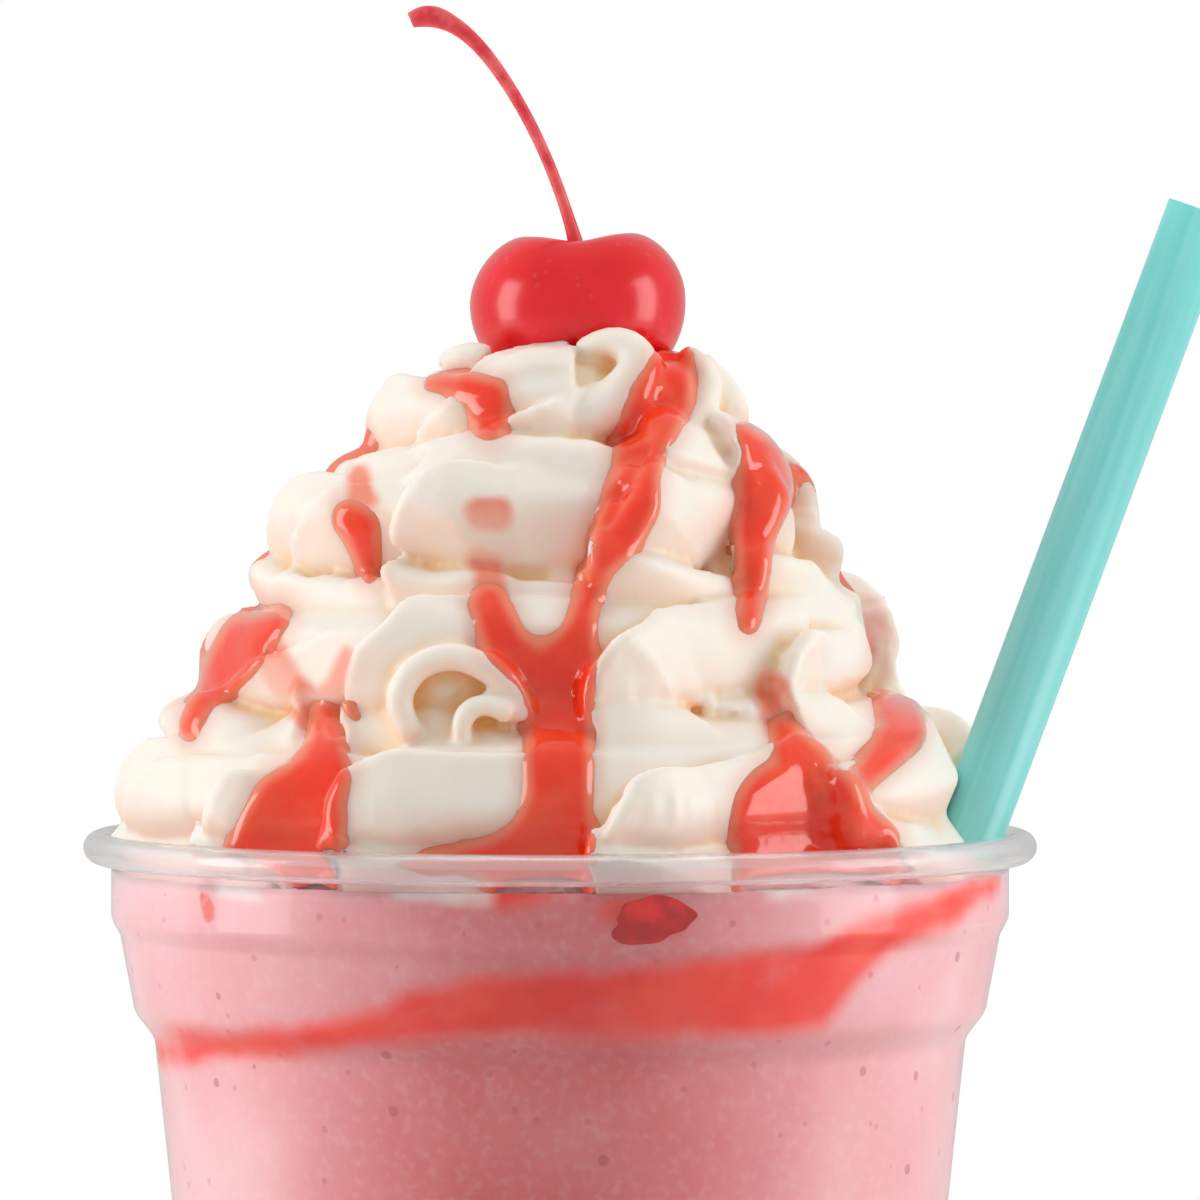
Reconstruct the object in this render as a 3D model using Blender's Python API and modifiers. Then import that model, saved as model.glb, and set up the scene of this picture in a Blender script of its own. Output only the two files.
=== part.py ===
"""A strawberry milkshake in a clear cold-drink cup, with piped cream, sauce, a cherry and a straw.

Run it with: blender --background --python part.py
Units are metres, +Z is up, and the origin is the centre of the cup's base, on the table.
The straw leans towards +X, and the side shown to a guest faces -Y.
"""

import math

import bmesh
import bpy
import numpy as np
from mathutils import Vector
from mathutils.bvhtree import BVHTree

MM = 0.001
FULL_TURN = 2 * math.pi

# Pieces that touch keep this gap
GAP = 0.3 * MM

# Cup, all radii on its inner wall
CUP_HEIGHT = 121.0 * MM
RIM_DIAMETER = 98.0 * MM
WALL = 0.35 * MM
ROUND_STEPS = 48
ROLL_RADIUS = 1.6 * MM
NECK_RADIUS = RIM_DIAMETER / 2 - 2 * ROLL_RADIUS
NECK_FOOT = 112.6 * MM
BAND_TOP_RADIUS = NECK_RADIUS - 1.0 * MM
BAND_TOP = 110.0 * MM
BAND_FOOT_RADIUS = NECK_RADIUS - 2.2 * MM
BAND_FOOT = 103.6 * MM
BODY_TOP_RADIUS = NECK_RADIUS - 4.5 * MM
BODY_TOP = 99.2 * MM
BODY_TAPER = 0.106
HEEL_RADIUS = 2.0 * MM
PANEL_RISE = 1.0 * MM
PANEL_INNER = 12.0 * MM
PANEL_OUTER = 24.0 * MM

# Drink, up to the level where the cream begins
DRINK_LEVEL = 117.0 * MM

# Straw, which rests on the base and leans on the rim
STRAW_DIAMETER = 7.1 * MM
STRAW_WALL = 0.2 * MM
STRAW_LENGTH = 195.1 * MM
STRAW_LEAN = math.radians(20.4)
STRAW_SIDES = 24

# Cherry and its stem
CHERRY_RADIUS = 11.1 * MM
CHERRY_PLACE = Vector((1.8, 1.5, 175.2)) * MM
CHERRY_UPPER = 0.80
CHERRY_LOWER = 0.92
DIMPLE_DEPTH = 3.6 * MM
DIMPLE_RADIUS = 4.2 * MM
CLEFT_DEPTH = 0.7 * MM

# Stem from the dimple to its knobbed tip, as (x, y, z, radius) in mm
STEM = (
    (1.7, 1.5, 181.0, 0.85), (1.3, 1.5, 182.6, 0.65), (0.2, 1.5, 186.2, 0.58),
    (-2.1, 1.6, 192.0, 0.60), (-5.3, 1.8, 197.8, 0.64), (-8.6, 2.0, 202.2, 0.72),
    (-11.6, 2.2, 204.4, 0.90), (-13.8, 2.3, 205.0, 1.30), (-15.4, 2.3, 204.3, 0.80),
)

# Piped cream: one round rope wound up in four rings, then modelled fold by fold.
# TURN_RISE is the share of each ring's climb that is left for the front.
CREAM_FOOT = DRINK_LEVEL + GAP
RINGS = 4
RING_HEIGHTS = (124.7 * MM, 138.8 * MM, 152.4 * MM, 163.3 * MM)
RING_THICKNESSES = (8.8 * MM, 8.4 * MM, 8.0 * MM, 6.2 * MM)
RING_BULGES = (4.7 * MM, 5.4 * MM, 6.4 * MM, 4.8 * MM)
RING_PITCH = 14.0 * MM
TURN_RISE = 0.2
ROPE_POINTS_PER_TURN = 48
CORE_FOOT = 112.0 * MM
CORE_FOOT_RADIUS = 47.3 * MM
CORE_TOP = 167.0 * MM
CORE_TOP_RADIUS = 8.5 * MM
CREAM_VOXEL = 0.9 * MM
CREAM_FACES = 5600

# A fold stands out at its lip and falls back over its width. It overhangs its left side a little.
FOLD_HEIGHT = 4.4 * MM
FOLD_WIDTH = 17.0 * MM
LIP_ROUND = 1.4 * MM
LIP_OVERHANG = 2.0 * MM

# Outer radius of each ring, which places the front folds on it
RING_OUTER = (47.0 * MM, 39.0 * MM, 31.5 * MM, 22.0 * MM)

# Lips of the folds seen from the front, as (x, z) in mm from the lower left: ring, height, points
FRONT_FOLDS = (
    (0, 1.0, ((-46.6, 118), (-46, 123), (-44, 126), (-41, 128.5), (-36, 130))),
    (0, 1.2, ((-36.5, 117), (-36.5, 122.5), (-35, 125), (-32.5, 127), (-27, 129.5))),
    (0, 1.3, ((-22.5, 117), (-23, 123), (-21.5, 126), (-17.5, 128.5), (-12, 129.6), (-2, 130.4))),
    (0, 1.2, ((4.5, 117), (4.5, 123), (6.5, 125), (10.5, 126.6), (15, 128), (24, 130.6))),
    (0, 1.1, ((35.5, 118.5), (32.5, 121.5), (30.2, 124.5), (29.8, 126.5), (31.5, 128.3), (36, 129.5))),
    (1, 0.9, ((-37, 131), (-37.5, 134.5), (-35.5, 137), (-33, 139), (-29, 141.5))),
    (1, 1.3, ((-21.5, 131), (-21.5, 136), (-20.3, 139.5), (-17.5, 142.5), (-13, 144.6), (-4, 146))),
    (1, 1.3, ((4, 130), (4, 135.5), (5, 138), (6.5, 140), (9, 141.8), (13, 143.4), (22, 145.6))),
    (1, 1.0, ((25.5, 131), (25, 136), (26, 139), (28, 141), (31, 141.5), (35, 142))),
    (1, 0.5, ((-37.6, 131.5), (-37.0, 134.5), (-35.2, 136.8), (-33.4, 135.6))),
    (1, 0.5, ((-32.0, 131.5), (-31.4, 135.0), (-29.8, 137.2), (-27.6, 136.0))),
    (2, 0.6, ((-18.6, 147.0), (-17.6, 150.4), (-15.3, 151.4), (-12.3, 151.0), (-6.7, 148.6))),
    (2, 0.9, ((-30.5, 146), (-30.5, 150.5), (-28.5, 153.5), (-26, 155.5), (-20, 158))),
    (2, 1.2, ((-18, 146), (-18, 153), (-16.5, 155), (-13, 156.3), (-7, 157.3), (4, 159.3))),
    (2, 1.3, ((4, 145), (6.6, 150), (8.5, 153.5), (10.5, 155.5), (13.5, 157.6), (20, 160.3))),
    (2, 1.0, ((21.5, 147), (23, 152), (25, 155), (26, 157), (28, 158.5))),
    (3, 0.4, ((-20, 159), (-18.5, 162.5), (-15.5, 165), (-10, 167.5))),
    (3, 0.8, ((-9, 160), (-6, 163), (-1, 164.6), (4, 166.5))),
    (3, 1.0, ((10, 159), (13.5, 162), (15.3, 165), (14.5, 168.5))),
    (3, 1.1, ((16.5, 159), (18.5, 162.5), (19, 165.5), (17, 168.5))),
)

# Lip of each fold round the sides and the back, along and up from its start, in mm
FOLD_LIP = ((0, -6), (0, -1.5), (1.5, 1.5), (5, 4), (11, 5.8), (18, 6.5))
BACK_FOLDS_FROM = 78
BACK_FOLDS_TO = 285
BACK_FOLDS_PER_RING = (6, 5, 4, 3)

# Rolled edges at the front of the second ring, as (x, z) in mm, and how far they stand out
SCROLLS = (
    (36.5, ((-14.5, 132.2), (-15.8, 134.5), (-15.6, 137), (-13.8, 139.3), (-10.5, 140.2),
            (-7.2, 139), (-4.8, 136.4), (-3.6, 133.8))),
    (37.5, ((-9.6, 131.4), (-9.7, 133.4), (-8.6, 135), (-6.6, 135.4), (-4.8, 134.4))),
)
SCROLL_DEPTH = 5.0 * MM
SCROLL_THICKNESS = 2.0 * MM

# Top: a small dome, a thick curled lip, a nub and two bands that hold the cherry,
# as (x, y, z, radius) in mm
TOP_TUBES = (
    ((-6.6, -10.4, 165.6, 3.0), (-2.8, -11.4, 167.8, 4.1), (0.6, -11.4, 166.8, 3.6)),
    ((2.4, -9.8, 170.0, 1.3), (4.6, -10.4, 171.2, 1.6), (7.0, -11.2, 170.8, 1.9),
     (8.2, -12.2, 168.6, 2.3), (6.8, -13.4, 165.8, 2.7), (3.4, -14.2, 163.4, 3.0),
     (-1.5, -14.4, 161.6, 2.6), (-6.0, -14.0, 160.6, 2.0)),
    ((-11.2, -5.5, 168.2, 1.7), (-9.6, -6.4, 169.4, 2.2), (-7.8, -7.2, 168.8, 1.9)),
    ((12.6, -7.2, 169.6, 1.2), (14.6, -8.4, 168.6, 1.4), (15.7, -9.8, 166.2, 1.5),
     (13.8, -13.8, 162.4, 1.7), (10.3, -17.4, 159.8, 1.6)),
    ((14.2, -4.0, 169.0, 1.2), (17.2, -6.0, 166.4, 1.4), (18.6, -8.2, 163.8, 1.5),
     (17.4, -12.2, 161.4, 1.4)),
)

# Sauce that runs down the front over the folds, as (x, z, half width) in mm
SAUCE_HEIGHT = 1.2 * MM
SAUCE_SIDE_LIMIT = 5.0
FRONT_SAUCE = (
    ((11.6, 169.4, 2.4), (10.2, 165.3, 3.4), (8.3, 161.6, 3.0), (7.7, 158.1, 2.8), (7.1, 155.2, 3.1),
     (5.8, 151.9, 2.8), (3.4, 147.2, 1.6), (1.8, 142, 2.6), (0, 136, 3.6), (0, 126, 3.6),
     (-1.6, 120, 5.4)),
    ((-7.2, 145.7, 2.0), (-5.1, 140.6, 3.0), (-0.5, 136.5, 3.5)),
    ((-11, 167.5, 1.5), (-7.6, 166.6, 2.2), (-7.2, 163, 2.2)),
    ((18.5, 162.2, 1.5), (21, 158.5, 3.2), (20.3, 154, 3.2), (19.3, 147, 1.9), (18.8, 142.8, 1.5)),
    ((-21, 153.4, 2.4), (-19.2, 147.4, 1.2)),
    ((-28.6, 142.9, 1.6), (-32, 140.6, 3.0), (-34.6, 137.4, 2.5), (-37.4, 132.6, 1.6)),
    ((-23.5, 134, 1.6), (-23.2, 131, 2.4), (-26, 124, 5.2), (-27.5, 119, 6.5)),
    ((33.4, 140.6, 1.6), (34, 135.4, 3), (34.6, 131, 2.8), (30.8, 128.2, 2.4)),
    ((22.6, 132.4, 2.0), (24.2, 128.4, 3.8), (23.8, 123.4, 7.0), (25.4, 119, 9.0)),
)

# Sauce on the sides and the back, as (angle from the front, top, foot, half width)
BACK_SAUCE = ((100, 158, 139, 2.4), (138, 163, 131, 3.0), (185, 160, 145, 2.6),
              (214, 152, 119, 3.6), (262, 161, 136, 2.6))

# Hollows between the folds, as (x, z, reach, depth) in mm
HOLLOWS = (
    (-18.5, 133.0, 3.0, 2.5), (13.5, 133.0, 4.0, 1.8), (-13.5, 148.0, 4.0, 2.5),
    (15.0, 147.0, 5.0, 1.6), (-29.0, 133.0, 3.5, 2.0), (28.0, 143.0, 2.5, 2.5),
)


def clear_scene():
    for obj in list(bpy.data.objects):
        bpy.data.objects.remove(obj, do_unlink=True)


def new_collection(name):
    collection = bpy.data.collections.new(name)
    bpy.context.scene.collection.children.link(collection)
    return collection


def place(obj, collection):
    for old in list(obj.users_collection):
        old.objects.unlink(obj)
    collection.objects.link(obj)
    return obj


def material(name, colour, roughness):
    made = bpy.data.materials.new(name)
    made.use_nodes = True
    shader = made.node_tree.nodes["Principled BSDF"]
    shader.inputs["Base Color"].default_value = (*colour, 1.0)
    shader.inputs["Roughness"].default_value = roughness
    shader.inputs["Metallic"].default_value = 0.0
    return made


def finish(obj, name, surface, collection):
    obj.name = name
    obj.data.name = name
    obj.data.materials.clear()
    obj.data.materials.append(surface)
    obj.data.shade_smooth()
    return place(obj, collection)


def mesh_of(obj):
    """The object as its modifiers leave it, as a plain mesh object in world space."""
    bpy.context.view_layer.update()
    evaluated = obj.evaluated_get(bpy.context.evaluated_depsgraph_get())
    mesh = bpy.data.meshes.new_from_object(evaluated)
    mesh.transform(obj.matrix_world)
    made = bpy.data.objects.new(obj.name, mesh)
    bpy.context.scene.collection.objects.link(made)
    bpy.data.objects.remove(obj, do_unlink=True)
    return made


def weld(obj, distance):
    shape = bmesh.new()
    shape.from_mesh(obj.data)
    bmesh.ops.remove_doubles(shape, verts=shape.verts, dist=distance)
    bmesh.ops.recalc_face_normals(shape, faces=shape.faces)
    shape.to_mesh(obj.data)
    shape.free()
    return obj


def add_boolean(obj, cutter, operation="DIFFERENCE"):
    cut = obj.modifiers.new(cutter.name, "BOOLEAN")
    cut.operation = operation
    cut.object = cutter
    return cut


def turned(name, profile):
    """A surface of revolution about Z from (radius, height) points."""
    mesh = bpy.data.meshes.new(name)
    points = [(radius, 0.0, height) for radius, height in profile]
    mesh.from_pydata(points, [(i, i + 1) for i in range(len(points) - 1)], [])
    obj = bpy.data.objects.new(name, mesh)
    bpy.context.scene.collection.objects.link(obj)
    screw = obj.modifiers.new("turn", "SCREW")
    screw.steps = screw.render_steps = ROUND_STEPS
    screw.use_merge_vertices = True
    screw.merge_threshold = 0.00005
    return obj


def eased(start, end, count):
    """Points of a soft S from start to end, without start itself."""
    points = []
    for i in range(1, count + 1):
        share = i / count
        soft = (1 - math.cos(math.pi * share)) / 2
        radius = start[0] + (end[0] - start[0]) * soft
        points.append((radius, start[1] + (end[1] - start[1]) * share))
    return points


def arc(centre, radius, start, end, count):
    """Points of an arc in the (radius, height) plane, angles in degrees."""
    points = []
    for i in range(count + 1):
        angle = math.radians(start + (end - start) * i / count)
        points.append(
            (centre[0] + radius * math.cos(angle), centre[1] + radius * math.sin(angle))
        )
    return points


def heel_radius_at_base():
    return BODY_TOP_RADIUS - BODY_TAPER * (BODY_TOP - WALL - HEEL_RADIUS)


def inner_wall():
    """The cup's inner wall from the heel up to the neck, as (radius, height) points."""
    foot = heel_radius_at_base()
    points = arc((foot - HEEL_RADIUS, WALL + HEEL_RADIUS), HEEL_RADIUS, -90, 0, 3)
    points.append((BODY_TOP_RADIUS, BODY_TOP))
    points += eased(points[-1], (BAND_FOOT_RADIUS, BAND_FOOT), 3)
    points.append((BAND_TOP_RADIUS, BAND_TOP))
    points += eased(points[-1], (NECK_RADIUS, NECK_FOOT), 3)
    return points


def base_panel():
    """The base from its centre out, with a shallow raised ring."""
    slope = PANEL_RISE * 1.5
    return [
        (0.0, WALL),
        (PANEL_INNER, WALL),
        (PANEL_INNER + slope, WALL + PANEL_RISE),
        (PANEL_OUTER, WALL + PANEL_RISE),
        (PANEL_OUTER + slope, WALL),
    ]


def roll_centre():
    return (NECK_RADIUS + ROLL_RADIUS, CUP_HEIGHT - ROLL_RADIUS)


def make_cup(collection):
    roll = arc(roll_centre(), ROLL_RADIUS, 180, -110, 8)
    obj = turned("cup", base_panel() + inner_wall() + roll)
    shell = obj.modifiers.new("wall", "SOLIDIFY")
    shell.thickness = WALL
    shell.offset = -1.0
    shell.use_even_offset = True
    surface = material("clear plastic", (0.93, 0.93, 0.94), 0.08)
    return finish(mesh_of(obj), "cup", surface, collection)


def make_drink(collection, straw_cutter):
    level = [(0.0, DRINK_LEVEL), (NECK_RADIUS - GAP, DRINK_LEVEL)]
    wall = [(radius - GAP, height) for radius, height in reversed(inner_wall()[1:])]
    base = [(radius, height + GAP) for radius, height in reversed(base_panel())]
    obj = turned("milkshake", level + wall + base)
    add_boolean(obj, straw_cutter)
    surface = material("strawberry milkshake", (0.86, 0.47, 0.50), 0.4)
    return finish(obj, "milkshake", surface, collection)


def straw_axis_at(height):
    """Where the straw's axis crosses this height, from its contact with the rolled rim."""
    centre = roll_centre()
    reach = ROLL_RADIUS + GAP + STRAW_DIAMETER / 2
    x = centre[0] - reach * math.cos(STRAW_LEAN)
    z = centre[1] + reach * math.sin(STRAW_LEAN)
    return Vector((x + (height - z) * math.tan(STRAW_LEAN), 0.0, height))


def straw_tube(name, radius, length):
    """An open tube along the straw's axis, starting at the straw's lower end."""
    lowest = WALL + GAP + STRAW_DIAMETER / 2 * math.sin(STRAW_LEAN)
    foot = straw_axis_at(lowest)
    along = Vector((math.sin(STRAW_LEAN), 0.0, math.cos(STRAW_LEAN)))
    bpy.ops.mesh.primitive_cylinder_add(
        vertices=STRAW_SIDES, radius=radius, depth=length, end_fill_type="NOTHING"
    )
    obj = bpy.context.object
    obj.name = name
    obj.location = foot + along * length / 2
    obj.rotation_euler = (0.0, STRAW_LEAN, 0.0)
    return obj


def make_straw(collection):
    obj = straw_tube("straw", STRAW_DIAMETER / 2, STRAW_LENGTH)
    shell = obj.modifiers.new("wall", "SOLIDIFY")
    shell.thickness = STRAW_WALL
    shell.offset = -1.0
    surface = material("teal plastic", (0.24, 0.66, 0.62), 0.35)
    return finish(obj, "straw", surface, collection)


def make_straw_cutter(collection):
    """A rod a gap wider than the straw, which runs out below the drink."""
    obj = straw_tube("straw_cutter", STRAW_DIAMETER / 2 + GAP, STRAW_LENGTH)
    obj.location -= Vector((math.sin(STRAW_LEAN), 0, math.cos(STRAW_LEAN))) * 4 * MM
    bpy.ops.object.select_all(action="DESELECT")
    obj.select_set(True)
    bpy.ops.object.mode_set(mode="EDIT")
    bpy.ops.mesh.select_all(action="SELECT")
    bpy.ops.mesh.edge_face_add()
    bpy.ops.object.mode_set(mode="OBJECT")
    return as_helper(obj, collection)


def as_helper(obj, collection):
    obj.hide_render = True
    obj.display_type = "WIRE"
    return place(obj, collection)


def curve_piece(name, points):
    """A smooth tube through (x, y, z, radius) points, as a mesh."""
    data = bpy.data.curves.new(name, "CURVE")
    data.dimensions = "3D"
    data.bevel_depth = 1.0 * MM
    data.bevel_resolution = 2
    data.resolution_u = 4
    data.use_fill_caps = True
    spline = data.splines.new("NURBS")
    spline.points.add(len(points) - 1)
    for point, (x, y, z, radius) in zip(spline.points, points):
        point.co = (x * MM, y * MM, z * MM, 1.0)
        point.radius = radius
    spline.use_endpoint_u = True
    spline.order_u = 4
    obj = bpy.data.objects.new(name, data)
    bpy.context.scene.collection.objects.link(obj)
    return weld(mesh_of(obj), 0.01 * MM)


def ring_share(angle):
    """How far up its climb a ring is at this angle from the front, from -0.5 to 0.5."""
    turn = angle / FULL_TURN
    return turn - (1 - TURN_RISE) * math.sin(FULL_TURN * turn) / FULL_TURN


def ring_centre(ring, angle):
    """Radius, height and thickness of the rope at an angle from the front, bulging from the core."""
    along = ring + ring_share(angle)
    height = np.interp(along, range(RINGS), RING_HEIGHTS)
    thickness = np.interp(along, range(RINGS), RING_THICKNESSES)
    bulge = np.interp(along, range(RINGS), RING_BULGES)
    slope = (CORE_FOOT_RADIUS - CORE_TOP_RADIUS) / (CORE_TOP - CORE_FOOT)
    core = CORE_FOOT_RADIUS - slope * (height - CORE_FOOT)
    inset = (thickness - bulge) * math.hypot(1, slope)
    return max(1.5 * MM, core - inset), height, thickness


def make_rope():
    """The round rope: angles run from the back, by the left and the front, to the back."""
    points = []
    for ring in range(RINGS):
        for i in range(ROPE_POINTS_PER_TURN):
            angle = FULL_TURN * (i / ROPE_POINTS_PER_TURN - 0.5)
            radius, height, thickness = ring_centre(ring, angle)
            x = radius * math.sin(angle)
            y = -radius * math.cos(angle)
            points.append((x / MM, y / MM, height / MM, thickness / MM))
    return curve_piece("rope", points)


def make_core():
    depth = CORE_TOP - CORE_FOOT
    bpy.ops.mesh.primitive_cone_add(
        vertices=48, radius1=CORE_FOOT_RADIUS, radius2=CORE_TOP_RADIUS, depth=depth,
        location=(0, 0, CORE_TOP - depth / 2),
    )
    return bpy.context.object


def scroll_ribbon(distance, points):
    """A standing ribbon with round edges, which faces the front."""
    data = bpy.data.curves.new("scroll", "CURVE")
    data.dimensions = "2D"
    data.extrude = SCROLL_DEPTH - SCROLL_THICKNESS / 2
    data.bevel_depth = SCROLL_THICKNESS / 2
    data.bevel_resolution = 3
    data.resolution_u = 6
    data.use_fill_caps = True
    spline = data.splines.new("NURBS")
    spline.points.add(len(points) - 1)
    for point, (x, z) in zip(spline.points, points):
        point.co = (x * MM, z * MM, 0.0, 1.0)
    spline.use_endpoint_u = True
    spline.order_u = 3
    obj = bpy.data.objects.new("scroll", data)
    bpy.context.scene.collection.objects.link(obj)
    obj.rotation_euler = (math.pi / 2, 0, 0)
    obj.location = (0, -distance * MM + SCROLL_DEPTH, 0)
    return weld(mesh_of(obj), 0.01 * MM)


def fuse(pieces, voxel, smoothing):
    """Joins closed pieces that overlap into one skin."""
    bpy.ops.object.select_all(action="DESELECT")
    for piece in pieces:
        piece.select_set(True)
    bpy.context.view_layer.objects.active = pieces[0]
    bpy.ops.object.join()
    fused = bpy.context.object
    remesh = fused.modifiers.new("fuse", "REMESH")
    remesh.mode = "VOXEL"
    remesh.voxel_size = voxel
    bpy.ops.object.modifier_apply(modifier=remesh.name)
    smooth = fused.modifiers.new("smooth", "SMOOTH")
    smooth.factor = 0.5
    smooth.iterations = smoothing
    bpy.ops.object.modifier_apply(modifier=smooth.name)
    return fused


def on_surface(tree, angle, height):
    """The point of the rope's skin at this angle from the front and height."""
    out = Vector((math.sin(angle), -math.cos(angle), 0.0))
    start = out * 60 * MM + Vector((0, 0, height))
    hit = tree.ray_cast(start, -out)[0]
    return hit if hit else out * 8 * MM + Vector((0, 0, height))


def front_lip(tree, ring, points):
    outer = RING_OUTER[ring]
    lip = []
    for x, z in points:
        angle = math.asin(max(-0.999, min(0.999, x * MM / outer)))
        lip.append(on_surface(tree, angle, z * MM))
    return lip


def back_lip(tree, ring, angle):
    radius, height, thickness = ring_centre(ring, angle - FULL_TURN if angle > math.pi else angle)
    outer = radius + thickness
    lip = []
    for along, up in FOLD_LIP:
        lip.append(on_surface(tree, angle + along * MM / outer, height + up * MM))
    return lip


def fold_lips(tree):
    """Every fold as its ring, its height and the points of its lip."""
    lips = []
    for ring, height, points in FRONT_FOLDS:
        lips.append((ring, height, front_lip(tree, ring, points)))
    for ring, count in enumerate(BACK_FOLDS_PER_RING):
        for i in range(count):
            share = (i + 0.5 + 0.22 * math.sin(5.1 * i + 2.3 * ring)) / count
            angle = math.radians(BACK_FOLDS_FROM + (BACK_FOLDS_TO - BACK_FOLDS_FROM) * share)
            height = 1.0 + 0.2 * math.sin(3.7 * i + 1.9 * ring)
            lips.append((ring, height, back_lip(tree, ring, angle)))
    return lips


def soft_step(value, low, high):
    share = np.clip((value - low) / (high - low), 0, 1)
    return share * share * (3 - 2 * share)


def nearest_on_lip(places, lip):
    """For each place: distance to the lip, the nearest point, its direction and its share along."""
    best = np.full(len(places), np.inf)
    near = np.zeros_like(places)
    heading = np.zeros_like(places)
    along = np.zeros(len(places))
    for i in range(len(lip) - 1):
        start = np.array(lip[i])
        run = np.array(lip[i + 1]) - start
        length = np.linalg.norm(run)
        share = np.clip((places - start) @ run / length ** 2, 0, 1)
        point = start + share[:, None] * run
        distance = np.linalg.norm(places - point, axis=1)
        closer = distance < best
        best[closer] = distance[closer]
        near[closer] = point[closer]
        heading[closer] = run / length
        along[closer] = (i + share[closer]) / (len(lip) - 1)
    return best, near, heading, along


def ring_mask(places, ring):
    """1 on the lower part of this ring's skin, less near its top, 0 past the grooves round it."""
    angle = np.arctan2(places[:, 0], -places[:, 1])
    turn = angle / FULL_TURN
    share = turn - (1 - TURN_RISE) * np.sin(FULL_TURN * turn) / FULL_TURN
    up = (places[:, 2] - np.interp(ring + share, range(RINGS), RING_HEIGHTS)) / RING_PITCH
    low = -0.9 if ring == 0 else -0.5
    high = 1.2 if ring == RINGS - 1 else 0.5
    mask = soft_step(up, low - 0.05, low + 0.08) * (1 - soft_step(up, high - 0.08, high + 0.05))
    return mask * (1 - 0.3 * soft_step(up, 0.0, 0.5))


def raise_folds(obj, lips):
    """Pushes the skin out at each lip, and over the side that the lip overhangs."""
    count = len(obj.data.vertices)
    places = np.zeros(count * 3)
    normals = np.zeros(count * 3)
    obj.data.vertices.foreach_get("co", places)
    obj.data.vertices.foreach_get("normal", normals)
    places = places.reshape(-1, 3)
    normals = normals.reshape(-1, 3)
    relief = np.zeros(count)
    shift = np.zeros_like(places)
    for ring, height, lip in lips:
        mask = ring_mask(places, ring)
        distance, near, heading, along = nearest_on_lip(places, lip)
        inward = np.cross(heading, normals)
        inside = np.einsum("ij,ij->i", inward, places - near) > 0
        width = np.clip(distance / FOLD_WIDTH, 0, 1)
        rounding = np.clip(distance / LIP_ROUND, 0, 1)
        rise = (1 - width) ** 1.25 * np.sqrt(1 - (1 - rounding) ** 2)
        fade = 1 - 0.75 * soft_step(along, 0.55, 1.0)
        rise = rise * fade * mask * inside * height * FOLD_HEIGHT
        higher = rise > relief
        relief[higher] = rise[higher]
        over = LIP_OVERHANG * np.exp(-distance / (2 * LIP_ROUND)) * rise / FOLD_HEIGHT
        shift[higher] = (-inward * over[:, None])[higher]
    for x, z, reach, depth in HOLLOWS:
        away = np.hypot(places[:, 0] - x * MM, places[:, 2] - z * MM) / (reach * MM)
        front = places[:, 1] < 0
        relief -= depth * MM * np.exp(-away ** 2) * front
    places = places + normals * relief[:, None] + shift
    obj.data.vertices.foreach_set("co", places.ravel())
    obj.data.update()


def streak_reach(across, up, points):
    """How far inside a streak each place lies, from 0 at its edge to 1 on its middle line."""
    reach = np.zeros(len(across))
    for (x0, z0, r0), (x1, z1, r1) in zip(points, points[1:]):
        length = math.hypot(x1 - x0, z1 - z0)
        share = ((across - x0) * (x1 - x0) + (up - z0) * (z1 - z0)) / length ** 2
        share = np.clip(share, 0, 1)
        away = np.hypot(across - x0 - share * (x1 - x0), up - z0 - share * (z1 - z0))
        reach = np.maximum(reach, 1 - away / (r0 + share * (r1 - r0)))
    return reach


def pour_sauce(obj):
    """Thickens the skin where sauce lies on it, so that the drizzle is one solid with the cream."""
    count = len(obj.data.vertices)
    places = np.zeros(count * 3)
    normals = np.zeros(count * 3)
    obj.data.vertices.foreach_get("co", places)
    obj.data.vertices.foreach_get("normal", normals)
    places = places.reshape(-1, 3)
    normals = normals.reshape(-1, 3)
    x, y, z = places.T / MM
    reach = np.zeros(count)
    for points in FRONT_SAUCE:
        reach = np.maximum(reach, streak_reach(x, z, points) * (y < SAUCE_SIDE_LIMIT))
    for degrees, top, foot, width in BACK_SAUCE:
        angle = math.radians(degrees)
        across = x * math.cos(angle) + y * math.sin(angle)
        outside = x * math.sin(angle) - y * math.cos(angle) > 0
        middle = (top + foot) / 2
        points = ((0, top, width * 0.7), (1.5, middle, width), (0, foot, width * 0.8))
        reach = np.maximum(reach, streak_reach(across, z, points) * outside)
    height = SAUCE_HEIGHT * np.sqrt(1 - (1 - np.clip(reach * 2.5, 0, 1)) ** 2)
    places = places + normals * height[:, None]
    obj.data.vertices.foreach_set("co", places.ravel())
    obj.data.update()


def make_cream_form(voxel):
    rope = fuse([make_rope(), make_core()], voxel, 6)
    tree = BVHTree.FromObject(rope, bpy.context.evaluated_depsgraph_get())
    raise_folds(rope, fold_lips(tree))
    pieces = [rope] + [curve_piece("top", points) for points in TOP_TUBES]
    pieces += [scroll_ribbon(distance, points) for distance, points in SCROLLS]
    return fuse(pieces, voxel, 4)


def make_cream_space(collection):
    """The space that the cream may fill: inside the neck, over the rolled rim, and all above."""
    centre = roll_centre()
    ceiling = 200 * MM
    around = 60 * MM
    roll = arc(centre, ROLL_RADIUS + GAP, 60, 180, 6)
    profile = [(0.0, ceiling), (around, ceiling), (around, roll[0][1])] + roll
    profile += [(NECK_RADIUS - GAP, CREAM_FOOT), (0.0, CREAM_FOOT)]
    return as_helper(mesh_of(turned("cream_space", profile)), collection)


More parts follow.
